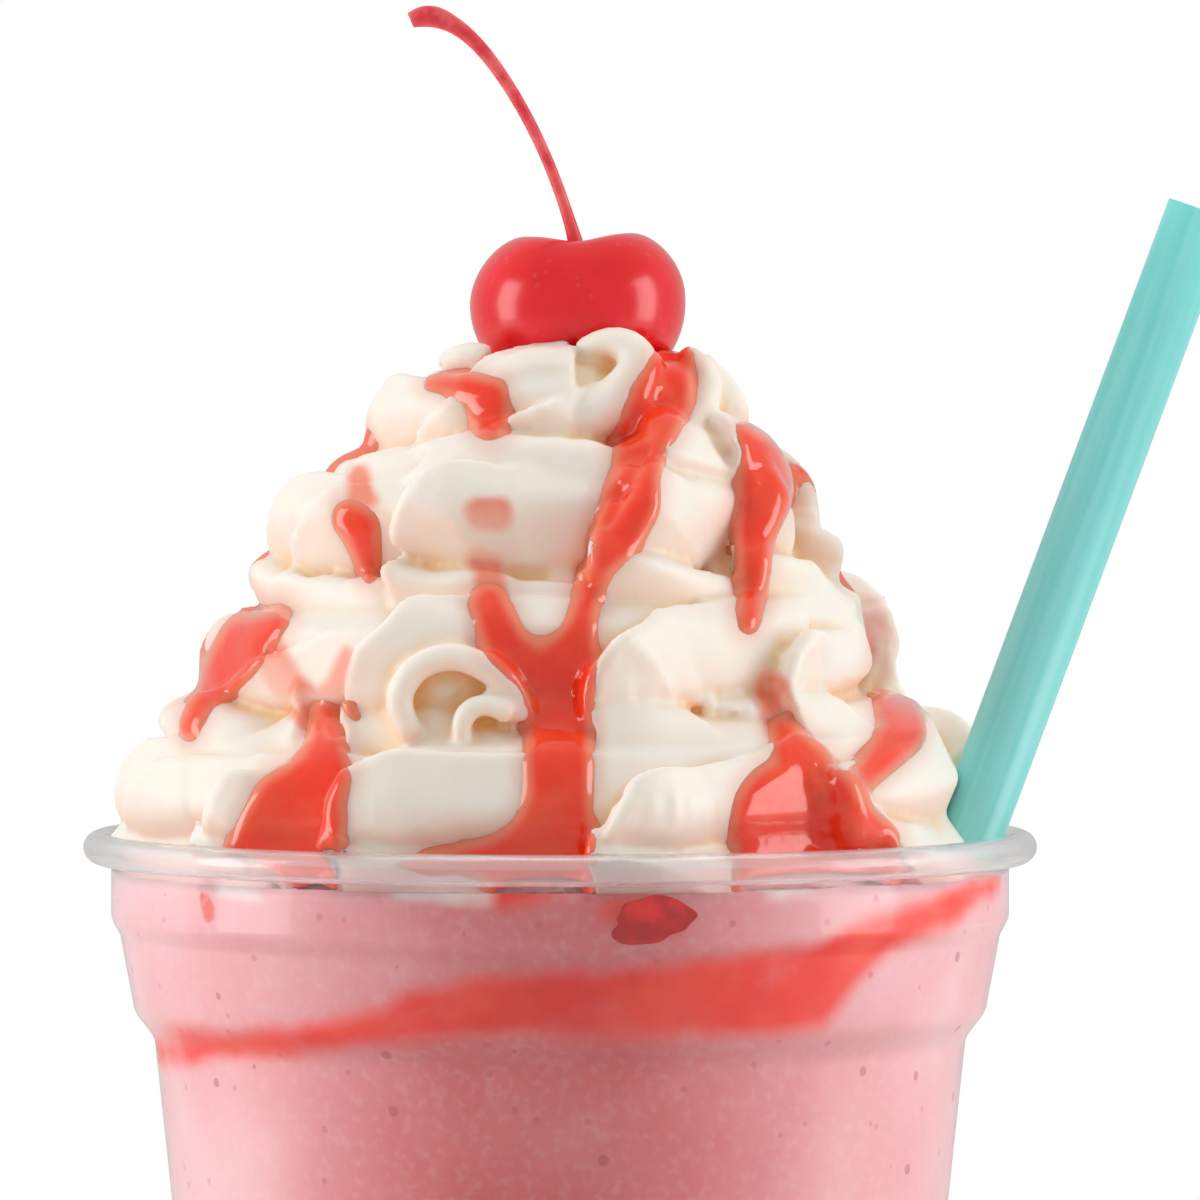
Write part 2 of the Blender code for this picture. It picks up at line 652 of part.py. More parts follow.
def make_cream(collection, space, cutters):
    obj = make_cream_form(CREAM_VOXEL)
    pour_sauce(obj)
    thin = obj.modifiers.new("thin", "DECIMATE")
    thin.ratio = CREAM_FACES / (2 * len(obj.data.polygons))
    add_boolean(obj, space, "INTERSECT")
    for cutter in cutters:
        add_boolean(obj, cutter)
    surface = material("whipped cream", (0.93, 0.87, 0.78), 0.5)
    return finish(obj, "whipped_cream", surface, collection)


def cherry_mesh(name, grow):
    """A wide round fruit with a dimple under its stem and a cleft across its top."""
    bpy.ops.mesh.primitive_uv_sphere_add(segments=28, ring_count=16, radius=CHERRY_RADIUS)
    obj = bpy.context.object
    obj.name = name
    for vertex in obj.data.vertices:
        x, y, z = vertex.co
        from_stem = math.hypot(x, y)
        z *= CHERRY_UPPER if z > 0 else CHERRY_LOWER
        if z > 0:
            z -= DIMPLE_DEPTH * math.exp(-((from_stem / DIMPLE_RADIUS) ** 2))
            z -= CLEFT_DEPTH * math.exp(-((x / (3 * MM)) ** 2)) * min(1.0, from_stem / DIMPLE_RADIUS)
            z += 0.035 * x
        vertex.co = (x, y, z)
    obj.data.update()
    if grow:
        moved = [vertex.co + vertex.normal * grow for vertex in obj.data.vertices]
        for vertex, place_there in zip(obj.data.vertices, moved):
            vertex.co = place_there
    obj.location = CHERRY_PLACE
    return obj


def make_cherry(collection):
    surface = material("cherry skin", (0.66, 0.03, 0.06), 0.2)
    return finish(cherry_mesh("cherry", 0.0), "cherry", surface, collection)


def make_cherry_pocket(collection):
    return as_helper(cherry_mesh("cherry_pocket", GAP), collection)


def make_stem(collection):
    surface = material("cherry stem", (0.74, 0.08, 0.10), 0.4)
    return finish(curve_piece("cherry_stem", STEM), "cherry_stem", surface, collection)


def main():
    clear_scene()
    parts = new_collection("strawberry_milkshake")
    helpers = new_collection("cutters")
    straw_cutter = make_straw_cutter(helpers)
    cherry_pocket = make_cherry_pocket(helpers)
    space = make_cream_space(helpers)
    make_cup(parts)
    make_drink(parts, straw_cutter)
    make_straw(parts)
    make_cherry(parts)
    make_stem(parts)
    make_cream(parts, space, [straw_cutter, cherry_pocket])


if __name__ == "__main__":
    main()
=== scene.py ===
# %% [markdown]
# # Strawberry milkshake with piped cream
# A clear plastic cup holds a strawberry milkshake, with four rings of whipped cream, runs of
# strawberry sauce, a cherry with its stem and a teal straw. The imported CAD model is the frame:
# it says where every piece is. Each cell below dresses one of its solids, in metres, with +Z up.

# %% Load the frame
import math

import bpy
import numpy as np
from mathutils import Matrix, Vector
from mathutils.bvhtree import BVHTree


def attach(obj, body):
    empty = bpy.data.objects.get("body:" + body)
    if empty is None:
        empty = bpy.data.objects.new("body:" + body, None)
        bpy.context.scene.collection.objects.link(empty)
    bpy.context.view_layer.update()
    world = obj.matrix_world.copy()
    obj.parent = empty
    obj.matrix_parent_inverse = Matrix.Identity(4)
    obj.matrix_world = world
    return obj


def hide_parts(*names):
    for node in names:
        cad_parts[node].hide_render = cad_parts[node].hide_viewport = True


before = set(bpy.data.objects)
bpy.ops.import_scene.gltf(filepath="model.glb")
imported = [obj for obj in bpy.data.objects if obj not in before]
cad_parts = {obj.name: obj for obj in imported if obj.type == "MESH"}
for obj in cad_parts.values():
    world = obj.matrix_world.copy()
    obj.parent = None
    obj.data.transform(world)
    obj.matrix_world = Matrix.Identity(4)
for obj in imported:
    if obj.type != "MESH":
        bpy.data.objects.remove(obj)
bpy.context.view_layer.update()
MM = 0.001
print("CAD nodes:", ", ".join(sorted(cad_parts)))

# %% [markdown]
# ## Small helpers
# Operators act on whatever is selected, so each helper first deselects everything and then picks
# its own piece. Finished pieces ride on the frame's only body and may stand for a CAD node.


# %% Selecting, applying and finishing
def pick(*objects):
    """Selects these objects alone, the last one active."""
    bpy.ops.object.select_all(action="DESELECT")
    for obj in objects:
        obj.select_set(True)
    bpy.context.view_layer.objects.active = objects[-1]


def add_primitive(operator, **settings):
    """Adds a primitive with nothing else selected."""
    bpy.ops.object.select_all(action="DESELECT")
    operator(**settings)
    return bpy.context.object


def apply_modifier(obj, kind, **settings):
    """Adds a modifier with these settings and applies it."""
    modifier = obj.modifiers.new(kind.lower(), kind)
    for name, value in settings.items():
        setattr(modifier, name, value)
    pick(obj)
    bpy.ops.object.modifier_apply(modifier=modifier.name)


def settle(obj):
    """Moves the object's place into its mesh."""
    pick(obj)
    bpy.ops.object.transform_apply(location=True, rotation=True, scale=True)


def finish_piece(obj, name, surface, node=None):
    """Names, paints and shades a piece, and ties it to the frame."""
    obj.name = name
    obj.data.materials.clear()
    obj.data.materials.append(surface)
    obj.data.shade_smooth()
    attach(obj, "root")
    if node:
        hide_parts(node)
    print(name, len(obj.data.polygons), "faces")
    return obj


# %% Reading and writing vertices as arrays
def vertex_places(obj):
    places = np.zeros(len(obj.data.vertices) * 3)
    obj.data.vertices.foreach_get("co", places)
    return places.reshape(-1, 3)


def vertex_normals(obj):
    normals = np.zeros(len(obj.data.vertices) * 3)
    obj.data.vertices.foreach_get("normal", normals)
    return normals.reshape(-1, 3)


def move_vertices(obj, places):
    obj.data.vertices.foreach_set("co", np.ascontiguousarray(places).ravel())
    obj.data.update()


def mark(obj, name, values):
    """Stores one number per vertex, which a material reads by name."""
    layer = obj.data.attributes.new(name, "FLOAT", "POINT")
    layer.data.foreach_set("value", np.asarray(values, dtype=np.float32))


def edge_ends(obj):
    ends = np.zeros(len(obj.data.edges) * 2, dtype=np.int32)
    obj.data.edges.foreach_get("vertices", ends)
    return ends.reshape(-1, 2)


def averaged(values, ends, rounds):
    """Spreads values along the edges, so that each becomes the mean of its neighbours' values."""
    a, b = ends.T
    count = np.bincount(a, minlength=len(values)) + np.bincount(b, minlength=len(values))
    columns = values.reshape(len(values), -1).astype(float)
    for _ in range(rounds):
        spread = np.empty_like(columns)
        for k in range(columns.shape[1]):
            spread[:, k] = np.bincount(a, columns[b, k], len(columns))
            spread[:, k] += np.bincount(b, columns[a, k], len(columns))
        columns = 0.5 * columns + 0.5 * spread / np.maximum(count, 1)[:, None]
    return columns.reshape(values.shape)


def soft_step(value, low, high):
    share = np.clip((value - low) / (high - low), 0, 1)
    return share * share * (3 - 2 * share)


# %% [markdown]
# ## Camera, light and floor
# The cup is seen almost level, from far away through a long lens, which keeps its sides nearly
# parallel. Two tall soft boxes at the sides leave bright edges and a deeper middle, a broad one
# above lights the tops of the folds, and the background is plain white for the camera alone.

# %% Camera
VIEW_WIDTH = 123.4 * MM
VIEW_CENTRE = Vector((4.1, 0.0, 144.7)) * MM
VIEW_RISE = math.radians(1.6)
LENS = 300.0
SENSOR = 36.0

distance = VIEW_WIDTH * LENS / SENSOR
bpy.ops.object.camera_add(rotation=(math.pi / 2 - VIEW_RISE, 0, 0))
camera = bpy.context.object
camera.location = VIEW_CENTRE + Vector((0, -math.cos(VIEW_RISE), math.sin(VIEW_RISE))) * distance
camera.data.lens = LENS
camera.data.sensor_width = SENSOR
camera.data.clip_end = 10.0
bpy.context.scene.camera = camera
bpy.context.scene.view_settings.view_transform = "Standard"
print("camera", round(distance, 3), "m away")

# %% Soft boxes: name, azimuth from the front, height, distance, width, length and power
SOFT_BOXES = (
    ("left_box", -82, 0.20, 0.60, 0.26, 0.60, 1.9),
    ("right_box", 80, 0.20, 0.60, 0.26, 0.60, 1.8),
    ("top_box", 0, 1.00, -0.20, 0.60, 0.60, 2.7),
)
AIM_HEIGHT = 0.13


def add_soft_box(name, azimuth, height, away, width, length, power):
    turn = math.radians(azimuth)
    place = Vector((math.sin(turn) * away, -math.cos(turn) * away, height))
    facing = Vector((0, 0, AIM_HEIGHT)) - place
    bpy.ops.object.light_add(type="AREA", location=place)
    light = bpy.context.object
    light.name = name
    light.rotation_euler = facing.to_track_quat("-Z", "Y").to_euler()
    light.data.shape = "RECTANGLE"
    light.data.size = width
    light.data.size_y = length
    light.data.energy = power
    light.visible_camera = False
    light.visible_glossy = name != "top_box"


for box in SOFT_BOXES:
    add_soft_box(*box)
print(len(SOFT_BOXES), "soft boxes")

# %% World and floor
FILL_STRENGTH = 0.58
FLOOR_RADIUS = 0.85
world = bpy.data.worlds.new("studio")
bpy.context.scene.world = world
world.use_nodes = True
nodes, links = world.node_tree.nodes, world.node_tree.links
seen = nodes["Background"]
seen.inputs["Color"].default_value = (1.0, 1.0, 1.0, 1.0)
fill = nodes.new("ShaderNodeBackground")
fill.inputs["Color"].default_value = (1.0, 0.99, 0.98, 1.0)
fill.inputs["Strength"].default_value = FILL_STRENGTH
chooser = nodes.new("ShaderNodeMixShader")
rays = nodes.new("ShaderNodeLightPath")
links.new(rays.outputs["Is Camera Ray"], chooser.inputs["Fac"])
links.new(fill.outputs["Background"], chooser.inputs[1])
links.new(seen.outputs["Background"], chooser.inputs[2])
links.new(chooser.outputs["Shader"], nodes["World Output"].inputs["Surface"])

bpy.ops.mesh.primitive_circle_add(vertices=96, radius=FLOOR_RADIUS, fill_type="NGON")
floor = bpy.context.object
floor.name = "floor"
floor_paint = bpy.data.materials.new("floor_paint")
floor_paint.use_nodes = True
floor_shader = floor_paint.node_tree.nodes["Principled BSDF"]
floor_shader.inputs["Base Color"].default_value = (0.84, 0.83, 0.81, 1.0)
floor_shader.inputs["Roughness"].default_value = 0.7
floor.data.materials.append(floor_paint)
print("floor", 2 * FLOOR_RADIUS, "m across")


# %% [markdown]
# ## Materials
# Every material starts as a Principled shader. Noise on Object coordinates and a speckle group,
# which turns Voronoi cells into a mask of grains, keep every surface from being one flat colour.


# %% Node helpers
def new_material(name, **sockets):
    """A material, its node tree and its shader, with plain values on the shader's own sockets."""
    made = bpy.data.materials.new(name)
    made.use_nodes = True
    shader = made.node_tree.nodes["Principled BSDF"]
    for socket, value in sockets.items():
        shader.inputs[socket.replace("_", " ")].default_value = value
    return made, made.node_tree, shader


def add_node(tree, kind, **settings):
    node = tree.nodes.new(kind)
    for name, value in settings.items():
        setattr(node, name, value)
    return node


def object_coordinates(tree):
    return add_node(tree, "ShaderNodeTexCoord").outputs["Object"]


def attribute(tree, name):
    return add_node(tree, "ShaderNodeAttribute", attribute_name=name).outputs["Fac"]


def noise(tree, scale, detail=2.0, roughness=0.5, where=None):
    node = add_node(tree, "ShaderNodeTexNoise")
    node.inputs["Scale"].default_value = scale
    node.inputs["Detail"].default_value = detail
    node.inputs["Roughness"].default_value = roughness
    tree.links.new(where or object_coordinates(tree), node.inputs["Vector"])
    return node.outputs["Fac"]


def map_range(tree, value, low, high, to_low=0.0, to_high=1.0):
    node = add_node(tree, "ShaderNodeMapRange", interpolation_type="SMOOTHSTEP")
    ends = {"From Min": low, "From Max": high, "To Min": to_low, "To Max": to_high}
    for name, number in ends.items():
        node.inputs[name].default_value = number
    tree.links.new(value, node.inputs["Value"])
    return node.outputs["Result"]


def patches(tree, scale, detail=2.0, low=0.35, high=0.7):
    """A soft mask of cloudy patches."""
    return map_range(tree, noise(tree, scale, detail), low, high)


def mix_colours(tree, mask, first, second):
    """Mixes two colours, given as RGB or as sockets, by a mask."""
    node = add_node(tree, "ShaderNodeMix", data_type="RGBA")
    tree.links.new(mask, node.inputs["Factor"])
    for socket, colour in ((node.inputs[6], first), (node.inputs[7], second)):
        if isinstance(colour, tuple):
            socket.default_value = (*colour, 1.0)
        else:
            tree.links.new(colour, socket)
    return node.outputs[2]


def calculate(tree, operation, first, second):
    node = add_node(tree, "ShaderNodeMath", operation=operation)
    for socket, value in zip(node.inputs, (first, second)):
        if isinstance(value, (int, float)):
            socket.default_value = value
        else:
            tree.links.new(value, socket)
    return node.outputs["Value"]


def add_bump(tree, shader, height, strength, distance_mm):
    node = add_node(tree, "ShaderNodeBump")
    node.inputs["Strength"].default_value = strength
    node.inputs["Distance"].default_value = distance_mm * MM
    tree.links.new(height, node.inputs["Height"])
    tree.links.new(node.outputs["Normal"], shader.inputs["Normal"])


def paint(shader, colour):
    """Gives the shader its base colour."""
    shader.id_data.links.new(colour, shader.inputs["Base Color"])


# %% Speckle group: sparse round grains from Voronoi cells
speckle = bpy.data.node_groups.new("speckle", "ShaderNodeTree")
for socket, usual in (("Scale", 300.0), ("Size", 0.2), ("Share", 0.5)):
    made = speckle.interface.new_socket(socket, in_out="INPUT", socket_type="NodeSocketFloat")
    made.default_value = usual
speckle.interface.new_socket("Mask", in_out="OUTPUT", socket_type="NodeSocketFloat")
inlet = add_node(speckle, "NodeGroupInput")
outlet = add_node(speckle, "NodeGroupOutput")
cells = add_node(speckle, "ShaderNodeTexVoronoi")
speckle.links.new(object_coordinates(speckle), cells.inputs["Vector"])
speckle.links.new(inlet.outputs["Scale"], cells.inputs["Scale"])
near = calculate(speckle, "LESS_THAN", cells.outputs["Distance"], inlet.outputs["Size"])
split = add_node(speckle, "ShaderNodeSeparateColor")
speckle.links.new(cells.outputs["Color"], split.inputs["Color"])
chosen = calculate(speckle, "LESS_THAN", split.outputs["Red"], inlet.outputs["Share"])
speckle.links.new(calculate(speckle, "MULTIPLY", near, chosen), outlet.inputs["Mask"])


def speckles(tree, scale, size, share, strength):
    """A mask of grains, with this strength where a grain lies."""
    node = add_node(tree, "ShaderNodeGroup", node_tree=speckle)
    for name, value in (("Scale", scale), ("Size", size), ("Share", share)):
        node.inputs[name].default_value = value
    return calculate(tree, "MULTIPLY", node.outputs["Mask"], strength)


print("speckle group ready")

# %% [markdown]
# ## Cup
# A cold-drink cup is pressed from one thin sheet of clear plastic. It tapers, has a stacking
# ledge and a step below the rim, and its rim is rolled outwards. A line of vertices drawn by
# extruding gives its section, a spin turns it round, and Solidify gives the sheet its thickness.

# %% Sizes of the cup, all radii on its inner wall
CUP_HEIGHT = 121.0 * MM
WALL = 0.35 * MM
ROLL_RADIUS = 1.6 * MM
NECK_RADIUS = 45.8 * MM
NECK_FOOT = 112.6 * MM
BAND_TOP = (44.8 * MM, 110.0 * MM)
BAND_FOOT = (43.6 * MM, 103.6 * MM)
BODY_TOP = (41.3 * MM, 99.2 * MM)
BODY_TAPER = 0.106
HEEL_RADIUS = 2.0 * MM
PANEL = ((0.0, 0.35), (12.0, 0.35), (13.5, 1.35), (24.0, 1.35), (25.5, 0.35))
DRINK_LEVEL = 117.0 * MM
GAP = 0.3 * MM


# %% Section of the inner wall
def eased(start, end, count):
    """Points of a soft S from start to end, without start itself."""
    points = []
    for i in range(1, count + 1):
        share = i / count
        soft = (1 - math.cos(math.pi * share)) / 2
        radius = start[0] + (end[0] - start[0]) * soft
        points.append((radius, start[1] + (end[1] - start[1]) * share))
    return points


def arc(centre, radius, start, end, count):
    """Points of an arc in the (radius, height) plane, angles in degrees."""
    angles = [math.radians(start + (end - start) * i / count) for i in range(count + 1)]
    return [(centre[0] + radius * math.cos(a), centre[1] + radius * math.sin(a)) for a in angles]


def straight(start, end, count):
    """Points of a straight line from start to end, without start itself."""
    (r0, h0), (r1, h1) = start, end
    return [(r0 + (r1 - r0) * i / count, h0 + (h1 - h0) * i / count) for i in range(1, count + 1)]


heel = BODY_TOP[0] - BODY_TAPER * (BODY_TOP[1] - WALL - HEEL_RADIUS)
inner_wall = arc((heel - HEEL_RADIUS, WALL + HEEL_RADIUS), HEEL_RADIUS, -90, 0, 6)
inner_wall += straight(inner_wall[-1], BODY_TOP, 36)
inner_wall += eased(BODY_TOP, BAND_FOOT, 8)
inner_wall += straight(BAND_FOOT, BAND_TOP, 5)
inner_wall += eased(BAND_TOP, (NECK_RADIUS, NECK_FOOT), 8)
base_panel = [(radius * MM, height * MM) for radius, height in PANEL]
roll_centre = (NECK_RADIUS + ROLL_RADIUS, CUP_HEIGHT - ROLL_RADIUS)
print(len(inner_wall), "points up the wall; heel radius", round(heel / MM, 1), "mm")


# %% Drawing a section and spinning it
def draw_section(name, points):
    """A chain of edges through (radius, height) points: one vertex, extruded again and again."""
    obj = add_primitive(bpy.ops.mesh.primitive_plane_add, size=MM)
    obj.name = name
    bpy.ops.object.mode_set(mode="EDIT")
    bpy.ops.mesh.select_all(action="SELECT")
    bpy.ops.mesh.merge(type="CENTER")
    bpy.ops.transform.translate(value=(points[0][0], 0, points[0][1]))
    for (radius, height), (next_radius, next_height) in zip(points, points[1:]):
        step = (next_radius - radius, 0, next_height - height)
        bpy.ops.mesh.extrude_region_move(TRANSFORM_OT_translate={"value": step})
    return obj


def spin_section(obj, steps):
    """Turns the drawn section once round the Z axis and closes its seam."""
    bpy.ops.mesh.select_all(action="SELECT")
    bpy.ops.mesh.spin(steps=steps, angle=2 * math.pi, center=(0, 0, 0), axis=(0, 0, 1))
    bpy.ops.mesh.select_all(action="SELECT")
    bpy.ops.mesh.remove_doubles(threshold=0.01 * MM)
    bpy.ops.mesh.normals_make_consistent(inside=False)
    bpy.ops.object.mode_set(mode="OBJECT")
    return obj


# %% Cup: draw, spin, thicken
roll = arc(roll_centre, ROLL_RADIUS, 180, -110, 20)
cup = spin_section(draw_section("cup_wall", base_panel + inner_wall + roll), 144)
wall_faces = [f for f in cup.data.polygons if 20 * MM < f.center.z < 90 * MM]
facing = sum(f.normal.x * f.center.x + f.normal.y * f.center.y for f in wall_faces)
if facing > 0:
    pick(cup)
    bpy.ops.object.mode_set(mode="EDIT")
    bpy.ops.mesh.select_all(action="SELECT")
    bpy.ops.mesh.flip_normals()
    bpy.ops.object.mode_set(mode="OBJECT")
apply_modifier(cup, "SOLIDIFY", thickness=WALL, offset=-1.0, use_even_offset=True)
print("cup", [round(v / MM, 1) for v in cup.dimensions], "mm")

# %% [markdown]
# The same plastic has two finishes. The wall is clear, and the rolled rim, where the sheet is
# turned over on itself, is milkier. Its faces get the second material by their height.


# %% Clear plastic
def add_plastic(name, transmission):
    """Clear plastic that lets shadow rays through, so that what it holds is lit."""
    made, tree, shader = new_material(
        name, Base_Color=(0.985, 0.98, 0.98, 1.0), Roughness=0.13, IOR=1.36
    )
    shader.inputs["Transmission Weight"].default_value = transmission
    add_bump(tree, shader, noise(tree, 90.0, 1.0), 0.08, 0.4)
    light_through = add_node(tree, "ShaderNodeMixShader")
    clear = add_node(tree, "ShaderNodeBsdfTransparent")
    clear.inputs["Color"].default_value = (0.96, 0.96, 0.96, 1.0)
    path = add_node(tree, "ShaderNodeLightPath")
    tree.links.new(path.outputs["Is Shadow Ray"], light_through.inputs["Fac"])
    tree.links.new(shader.outputs["BSDF"], light_through.inputs[1])
    tree.links.new(clear.outputs["BSDF"], light_through.inputs[2])
    tree.links.new(light_through.outputs["Shader"], tree.nodes["Material Output"].inputs["Surface"])
    return made


WALL_TRANSMISSION = 0.985
clear_plastic = add_plastic("clear_plastic", WALL_TRANSMISSION)
finish_piece(cup, "clear_cup", clear_plastic, "cup")

# %% Milkier plastic where the rim is rolled
ROLL_TRANSMISSION = 0.88
ROLL_FOOT = 116.6 * MM
cup.data.materials.append(add_plastic("rolled_plastic", ROLL_TRANSMISSION))
for face in cup.data.polygons:
    face.material_index = int(face.center.z > ROLL_FOOT)
print(sum(face.material_index for face in cup.data.polygons), "faces in the rolled rim")


# %% [markdown]
# ## Colour regions
# Sauce lies in runs with round ends. Each run is a chain of points with a half width. The signed
# distance from its edge, below zero inside, is worked out for every vertex, and shapes or tints
# the surface. Blending the runs softly makes them meet in fillets, as a liquid does.


# %% Signed distance from a run
def run_distance(across, up, points):
    """Distance from the edge of one run of (across, up, half width) points, in mm."""
    best = np.full(len(across), 1e3)
    for (x0, z0, r0), (x1, z1, r1) in zip(points, points[1:]):
        length = max(1e-6, math.hypot(x1 - x0, z1 - z0))
        share = np.clip(((across - x0) * (x1 - x0) + (up - z0) * (z1 - z0)) / length ** 2, 0, 1)
        away = np.hypot(across - x0 - share * (x1 - x0), up - z0 - share * (z1 - z0))
        best = np.minimum(best, away - (r0 + share * (r1 - r0)))
    return best


def blended(first, second, width):
    """The smaller of two distances, with a fillet of this width where they meet."""
    share = np.clip(0.5 + 0.5 * (second - first) / width, 0, 1)
    return second + (first - second) * share - width * share * (1 - share)


# %% [markdown]
# ## Milkshake
# The drink fills the cup up to the cream, so its section is the cup's inner wall, and it reaches
# just into the wall so that no air shows between them. A red band of sauce was swirled against
# the wall before the drink went in. Towards the front the froth is painted darker and redder, as
# painted shade where the side boxes light it less. The band follows the turn of the cup, as
# (degrees from the front, height, half width), and runs out on the hidden side.

# %% The drink's body
REACH_INTO_WALL = 0.12 * MM
level = [(0.0, DRINK_LEVEL)]
level += straight(level[0], (NECK_RADIUS + REACH_INTO_WALL, DRINK_LEVEL), 12)
drink_wall = [(radius + REACH_INTO_WALL, height) for radius, height in reversed(inner_wall[1:])]
neck = straight(level[-1], drink_wall[0], 4)[:-1]
drink_base = [(radius, height - 0.1 * MM) for radius, height in reversed(base_panel)]
drink = spin_section(draw_section("drink", level + neck + drink_wall + drink_base), 240)
print("drink", [round(v / MM, 1) for v in drink.dimensions], "mm")

# %% Straw: how it stands
STRAW_RADIUS = 3.55 * MM
STRAW_WALL = 0.2 * MM
STRAW_LENGTH = 195.1 * MM
STRAW_LEAN = math.radians(20.4)
reach = ROLL_RADIUS + GAP + STRAW_RADIUS
lean_x = roll_centre[0] - reach * math.cos(STRAW_LEAN)
lean_z = roll_centre[1] + reach * math.sin(STRAW_LEAN)
lowest = WALL + GAP + STRAW_RADIUS * math.sin(STRAW_LEAN)
straw_foot = Vector((lean_x + (lowest - lean_z) * math.tan(STRAW_LEAN), 0.0, lowest))
straw_along = Vector((math.sin(STRAW_LEAN), 0.0, math.cos(STRAW_LEAN)))


def add_rod(name, radius, start, length, ends):
    """A rod along the straw's line."""
    rod = add_primitive(
        bpy.ops.mesh.primitive_cylinder_add, vertices=72, radius=radius, depth=length,
        end_fill_type=ends, location=straw_foot + straw_along * (start + length / 2),
        rotation=(0, STRAW_LEAN, 0),
    )
    rod.name = name
    settle(rod)
    return rod


def cut_straw_way(obj):
    """Leaves room for the straw through a piece."""
    rod = add_rod("straw_way", STRAW_RADIUS + 0.02 * MM, -4 * MM, STRAW_LENGTH, "NGON")
    apply_modifier(obj, "BOOLEAN", operation="DIFFERENCE", object=rod)
    bpy.data.objects.remove(rod, do_unlink=True)


cut_straw_way(drink)
print("straw foot at", [round(v / MM, 1) for v in straw_foot], "mm")

# %% Band of sauce, traces of cream and a fallen drop, on the drink's wall
UNROLL_RADIUS = 43.0
WALL_FROM = 30.0
BAND_FILLET = 1.5
# How far round from the front and how high the painted shade on the drink reaches, and how much of it
# the drink's top gets.
FRONT_SHADE_ANGLE = math.radians(38)
FRONT_SHADE_FADE = 0.3
BASE_FRONT_SHADE = 0.4
SAUCE_BAND = (
    ((-112, 98.4, 0.2), (-95, 98.9, 1.2), (-80, 99.2, 1.8), (-65, 100.2, 1.9), (-52, 100.9, 1.5),
     (-38, 101.6, 1.4), (-23, 103.9, 2.0), (-10, 105.9, 2.9), (3, 106.2, 3.3), (19, 106.6, 3.8),
     (28, 106.9, 4.4), (35, 107.6, 4.4), (40, 110.2, 3.2), (46, 112.6, 2.2), (54, 114.0, 1.9),
     (64, 115.4, 1.6), (76, 116.5, 0.9)),
    ((-11.5, 118.0, 1.0), (-7, 117.6, 1.8), (-3, 117.8, 1.4), (0, 118.2, 0.8)),
    ((6, 115.4, 1.2), (10, 115.2, 1.7), (14, 114.2, 1.0)),
)
CREAM_TRACES = (
    ((-47, 117.0, 1.2), (-42, 116.4, 1.2), (-39, 115.8, 0.6)),
    ((-20, 117.0, 1.0), (-14, 116.8, 1.4), (-9, 116.4, 0.8)), ((28, 117.0, 1.2), (34, 116.6, 0.7)),
)
FALLEN_DROP = (((-50.5, 115.9, 0.7), (-49.5, 114.3, 1.1)),)

x, y, z = (vertex_places(drink) / MM).T
along = np.arctan2(x, -y) * UNROLL_RADIUS
on_wall = np.hypot(x, y) > WALL_FROM


def wall_region(runs):
    """Distance from the edge of runs given by their angle on the wall."""
    found = np.full(len(along), 1e3)
    for run in runs:
        points = [(math.radians(degrees) * UNROLL_RADIUS, up, half) for degrees, up, half in run]
        found = blended(found, run_distance(along, z, points), BAND_FILLET)
    return np.where(on_wall, found, 1e3)


regions = {"sauce_edge": SAUCE_BAND, "cream_edge": CREAM_TRACES, "drop_edge": FALLEN_DROP}
for name, runs in regions.items():
    mark(drink, name, np.clip(wall_region(runs), -6, 6))
# Painted shade: the froth is darker and redder towards the front, where the side boxes light it less,
# and less so higher up.
front_shade = np.exp(-((along / UNROLL_RADIUS / FRONT_SHADE_ANGLE) ** 2))
front_shade = front_shade * (1 - FRONT_SHADE_FADE * soft_step(z, 98, 108))
mark(drink, "front_shade_share", np.where(on_wall, front_shade, BASE_FRONT_SHADE))
print("band from", SAUCE_BAND[0][0][0], "to", SAUCE_BAND[0][-1][0], "degrees")

# %% [markdown]
# The drink is a blend of milk and fruit: pale pink froth with cloudy patches, fine flecks of
# strawberry and small bubbles. Noise warps the edge of the band, because the sauce bled into the
# froth, and a little light scatters below the surface.

# %% Milkshake finish
milkshake, tree, shader = new_material(
    "milkshake", Roughness=0.45, Subsurface_Weight=0.35, Subsurface_Scale=0.004,
    Subsurface_Radius=(1.0, 0.45, 0.40),
)
clouds = patches(tree, 45.0, 4.0)
froth = mix_colours(tree, clouds, (0.88, 0.49, 0.52), (0.91, 0.62, 0.65))
# Painted shade: towards the front, the froth is mixed unevenly with a darker red.
front_shade_red = mix_colours(tree, clouds, (0.76, 0.10, 0.11), (0.83, 0.18, 0.19))
uneven = map_range(tree, noise(tree, 28.0, 3.0), 0.2, 0.6, 0.6, 1.0)
patchy_front_shade = calculate(tree, "MULTIPLY", attribute(tree, "front_shade_share"), uneven)
froth = mix_colours(tree, patchy_front_shade, froth, front_shade_red)
grain = patches(tree, 900.0, 3.0, 0.45, 0.75)
froth = mix_colours(tree, calculate(tree, "MULTIPLY", grain, 0.2), froth, (0.93, 0.68, 0.70))
flecks = speckles(tree, 420.0, 0.16, 0.30, 0.35)
froth = mix_colours(tree, flecks, froth, (0.55, 0.10, 0.14))
spots = speckles(tree, 230.0, 0.13, 0.25, 0.6)
froth = mix_colours(tree, spots, froth, (0.55, 0.12, 0.13))
wobble = calculate(tree, "SUBTRACT", noise(tree, 130.0, 4.0), 0.5)
ragged = calculate(tree, "MULTIPLY", wobble, 2.6)
edge = calculate(tree, "ADD", attribute(tree, "sauce_edge"), ragged)
streaky = map_range(tree, noise(tree, 75.0, 5.0, 0.6), 0.30, 0.52, 0.62, 1.0)
in_band = calculate(tree, "MULTIPLY", map_range(tree, edge, 1.3, -1.5), streaky)
pulpy = patches(tree, 120.0, 4.0, 0.3)
band_colour = mix_colours(tree, pulpy, (0.94, 0.025, 0.008), (1.0, 0.090, 0.040))
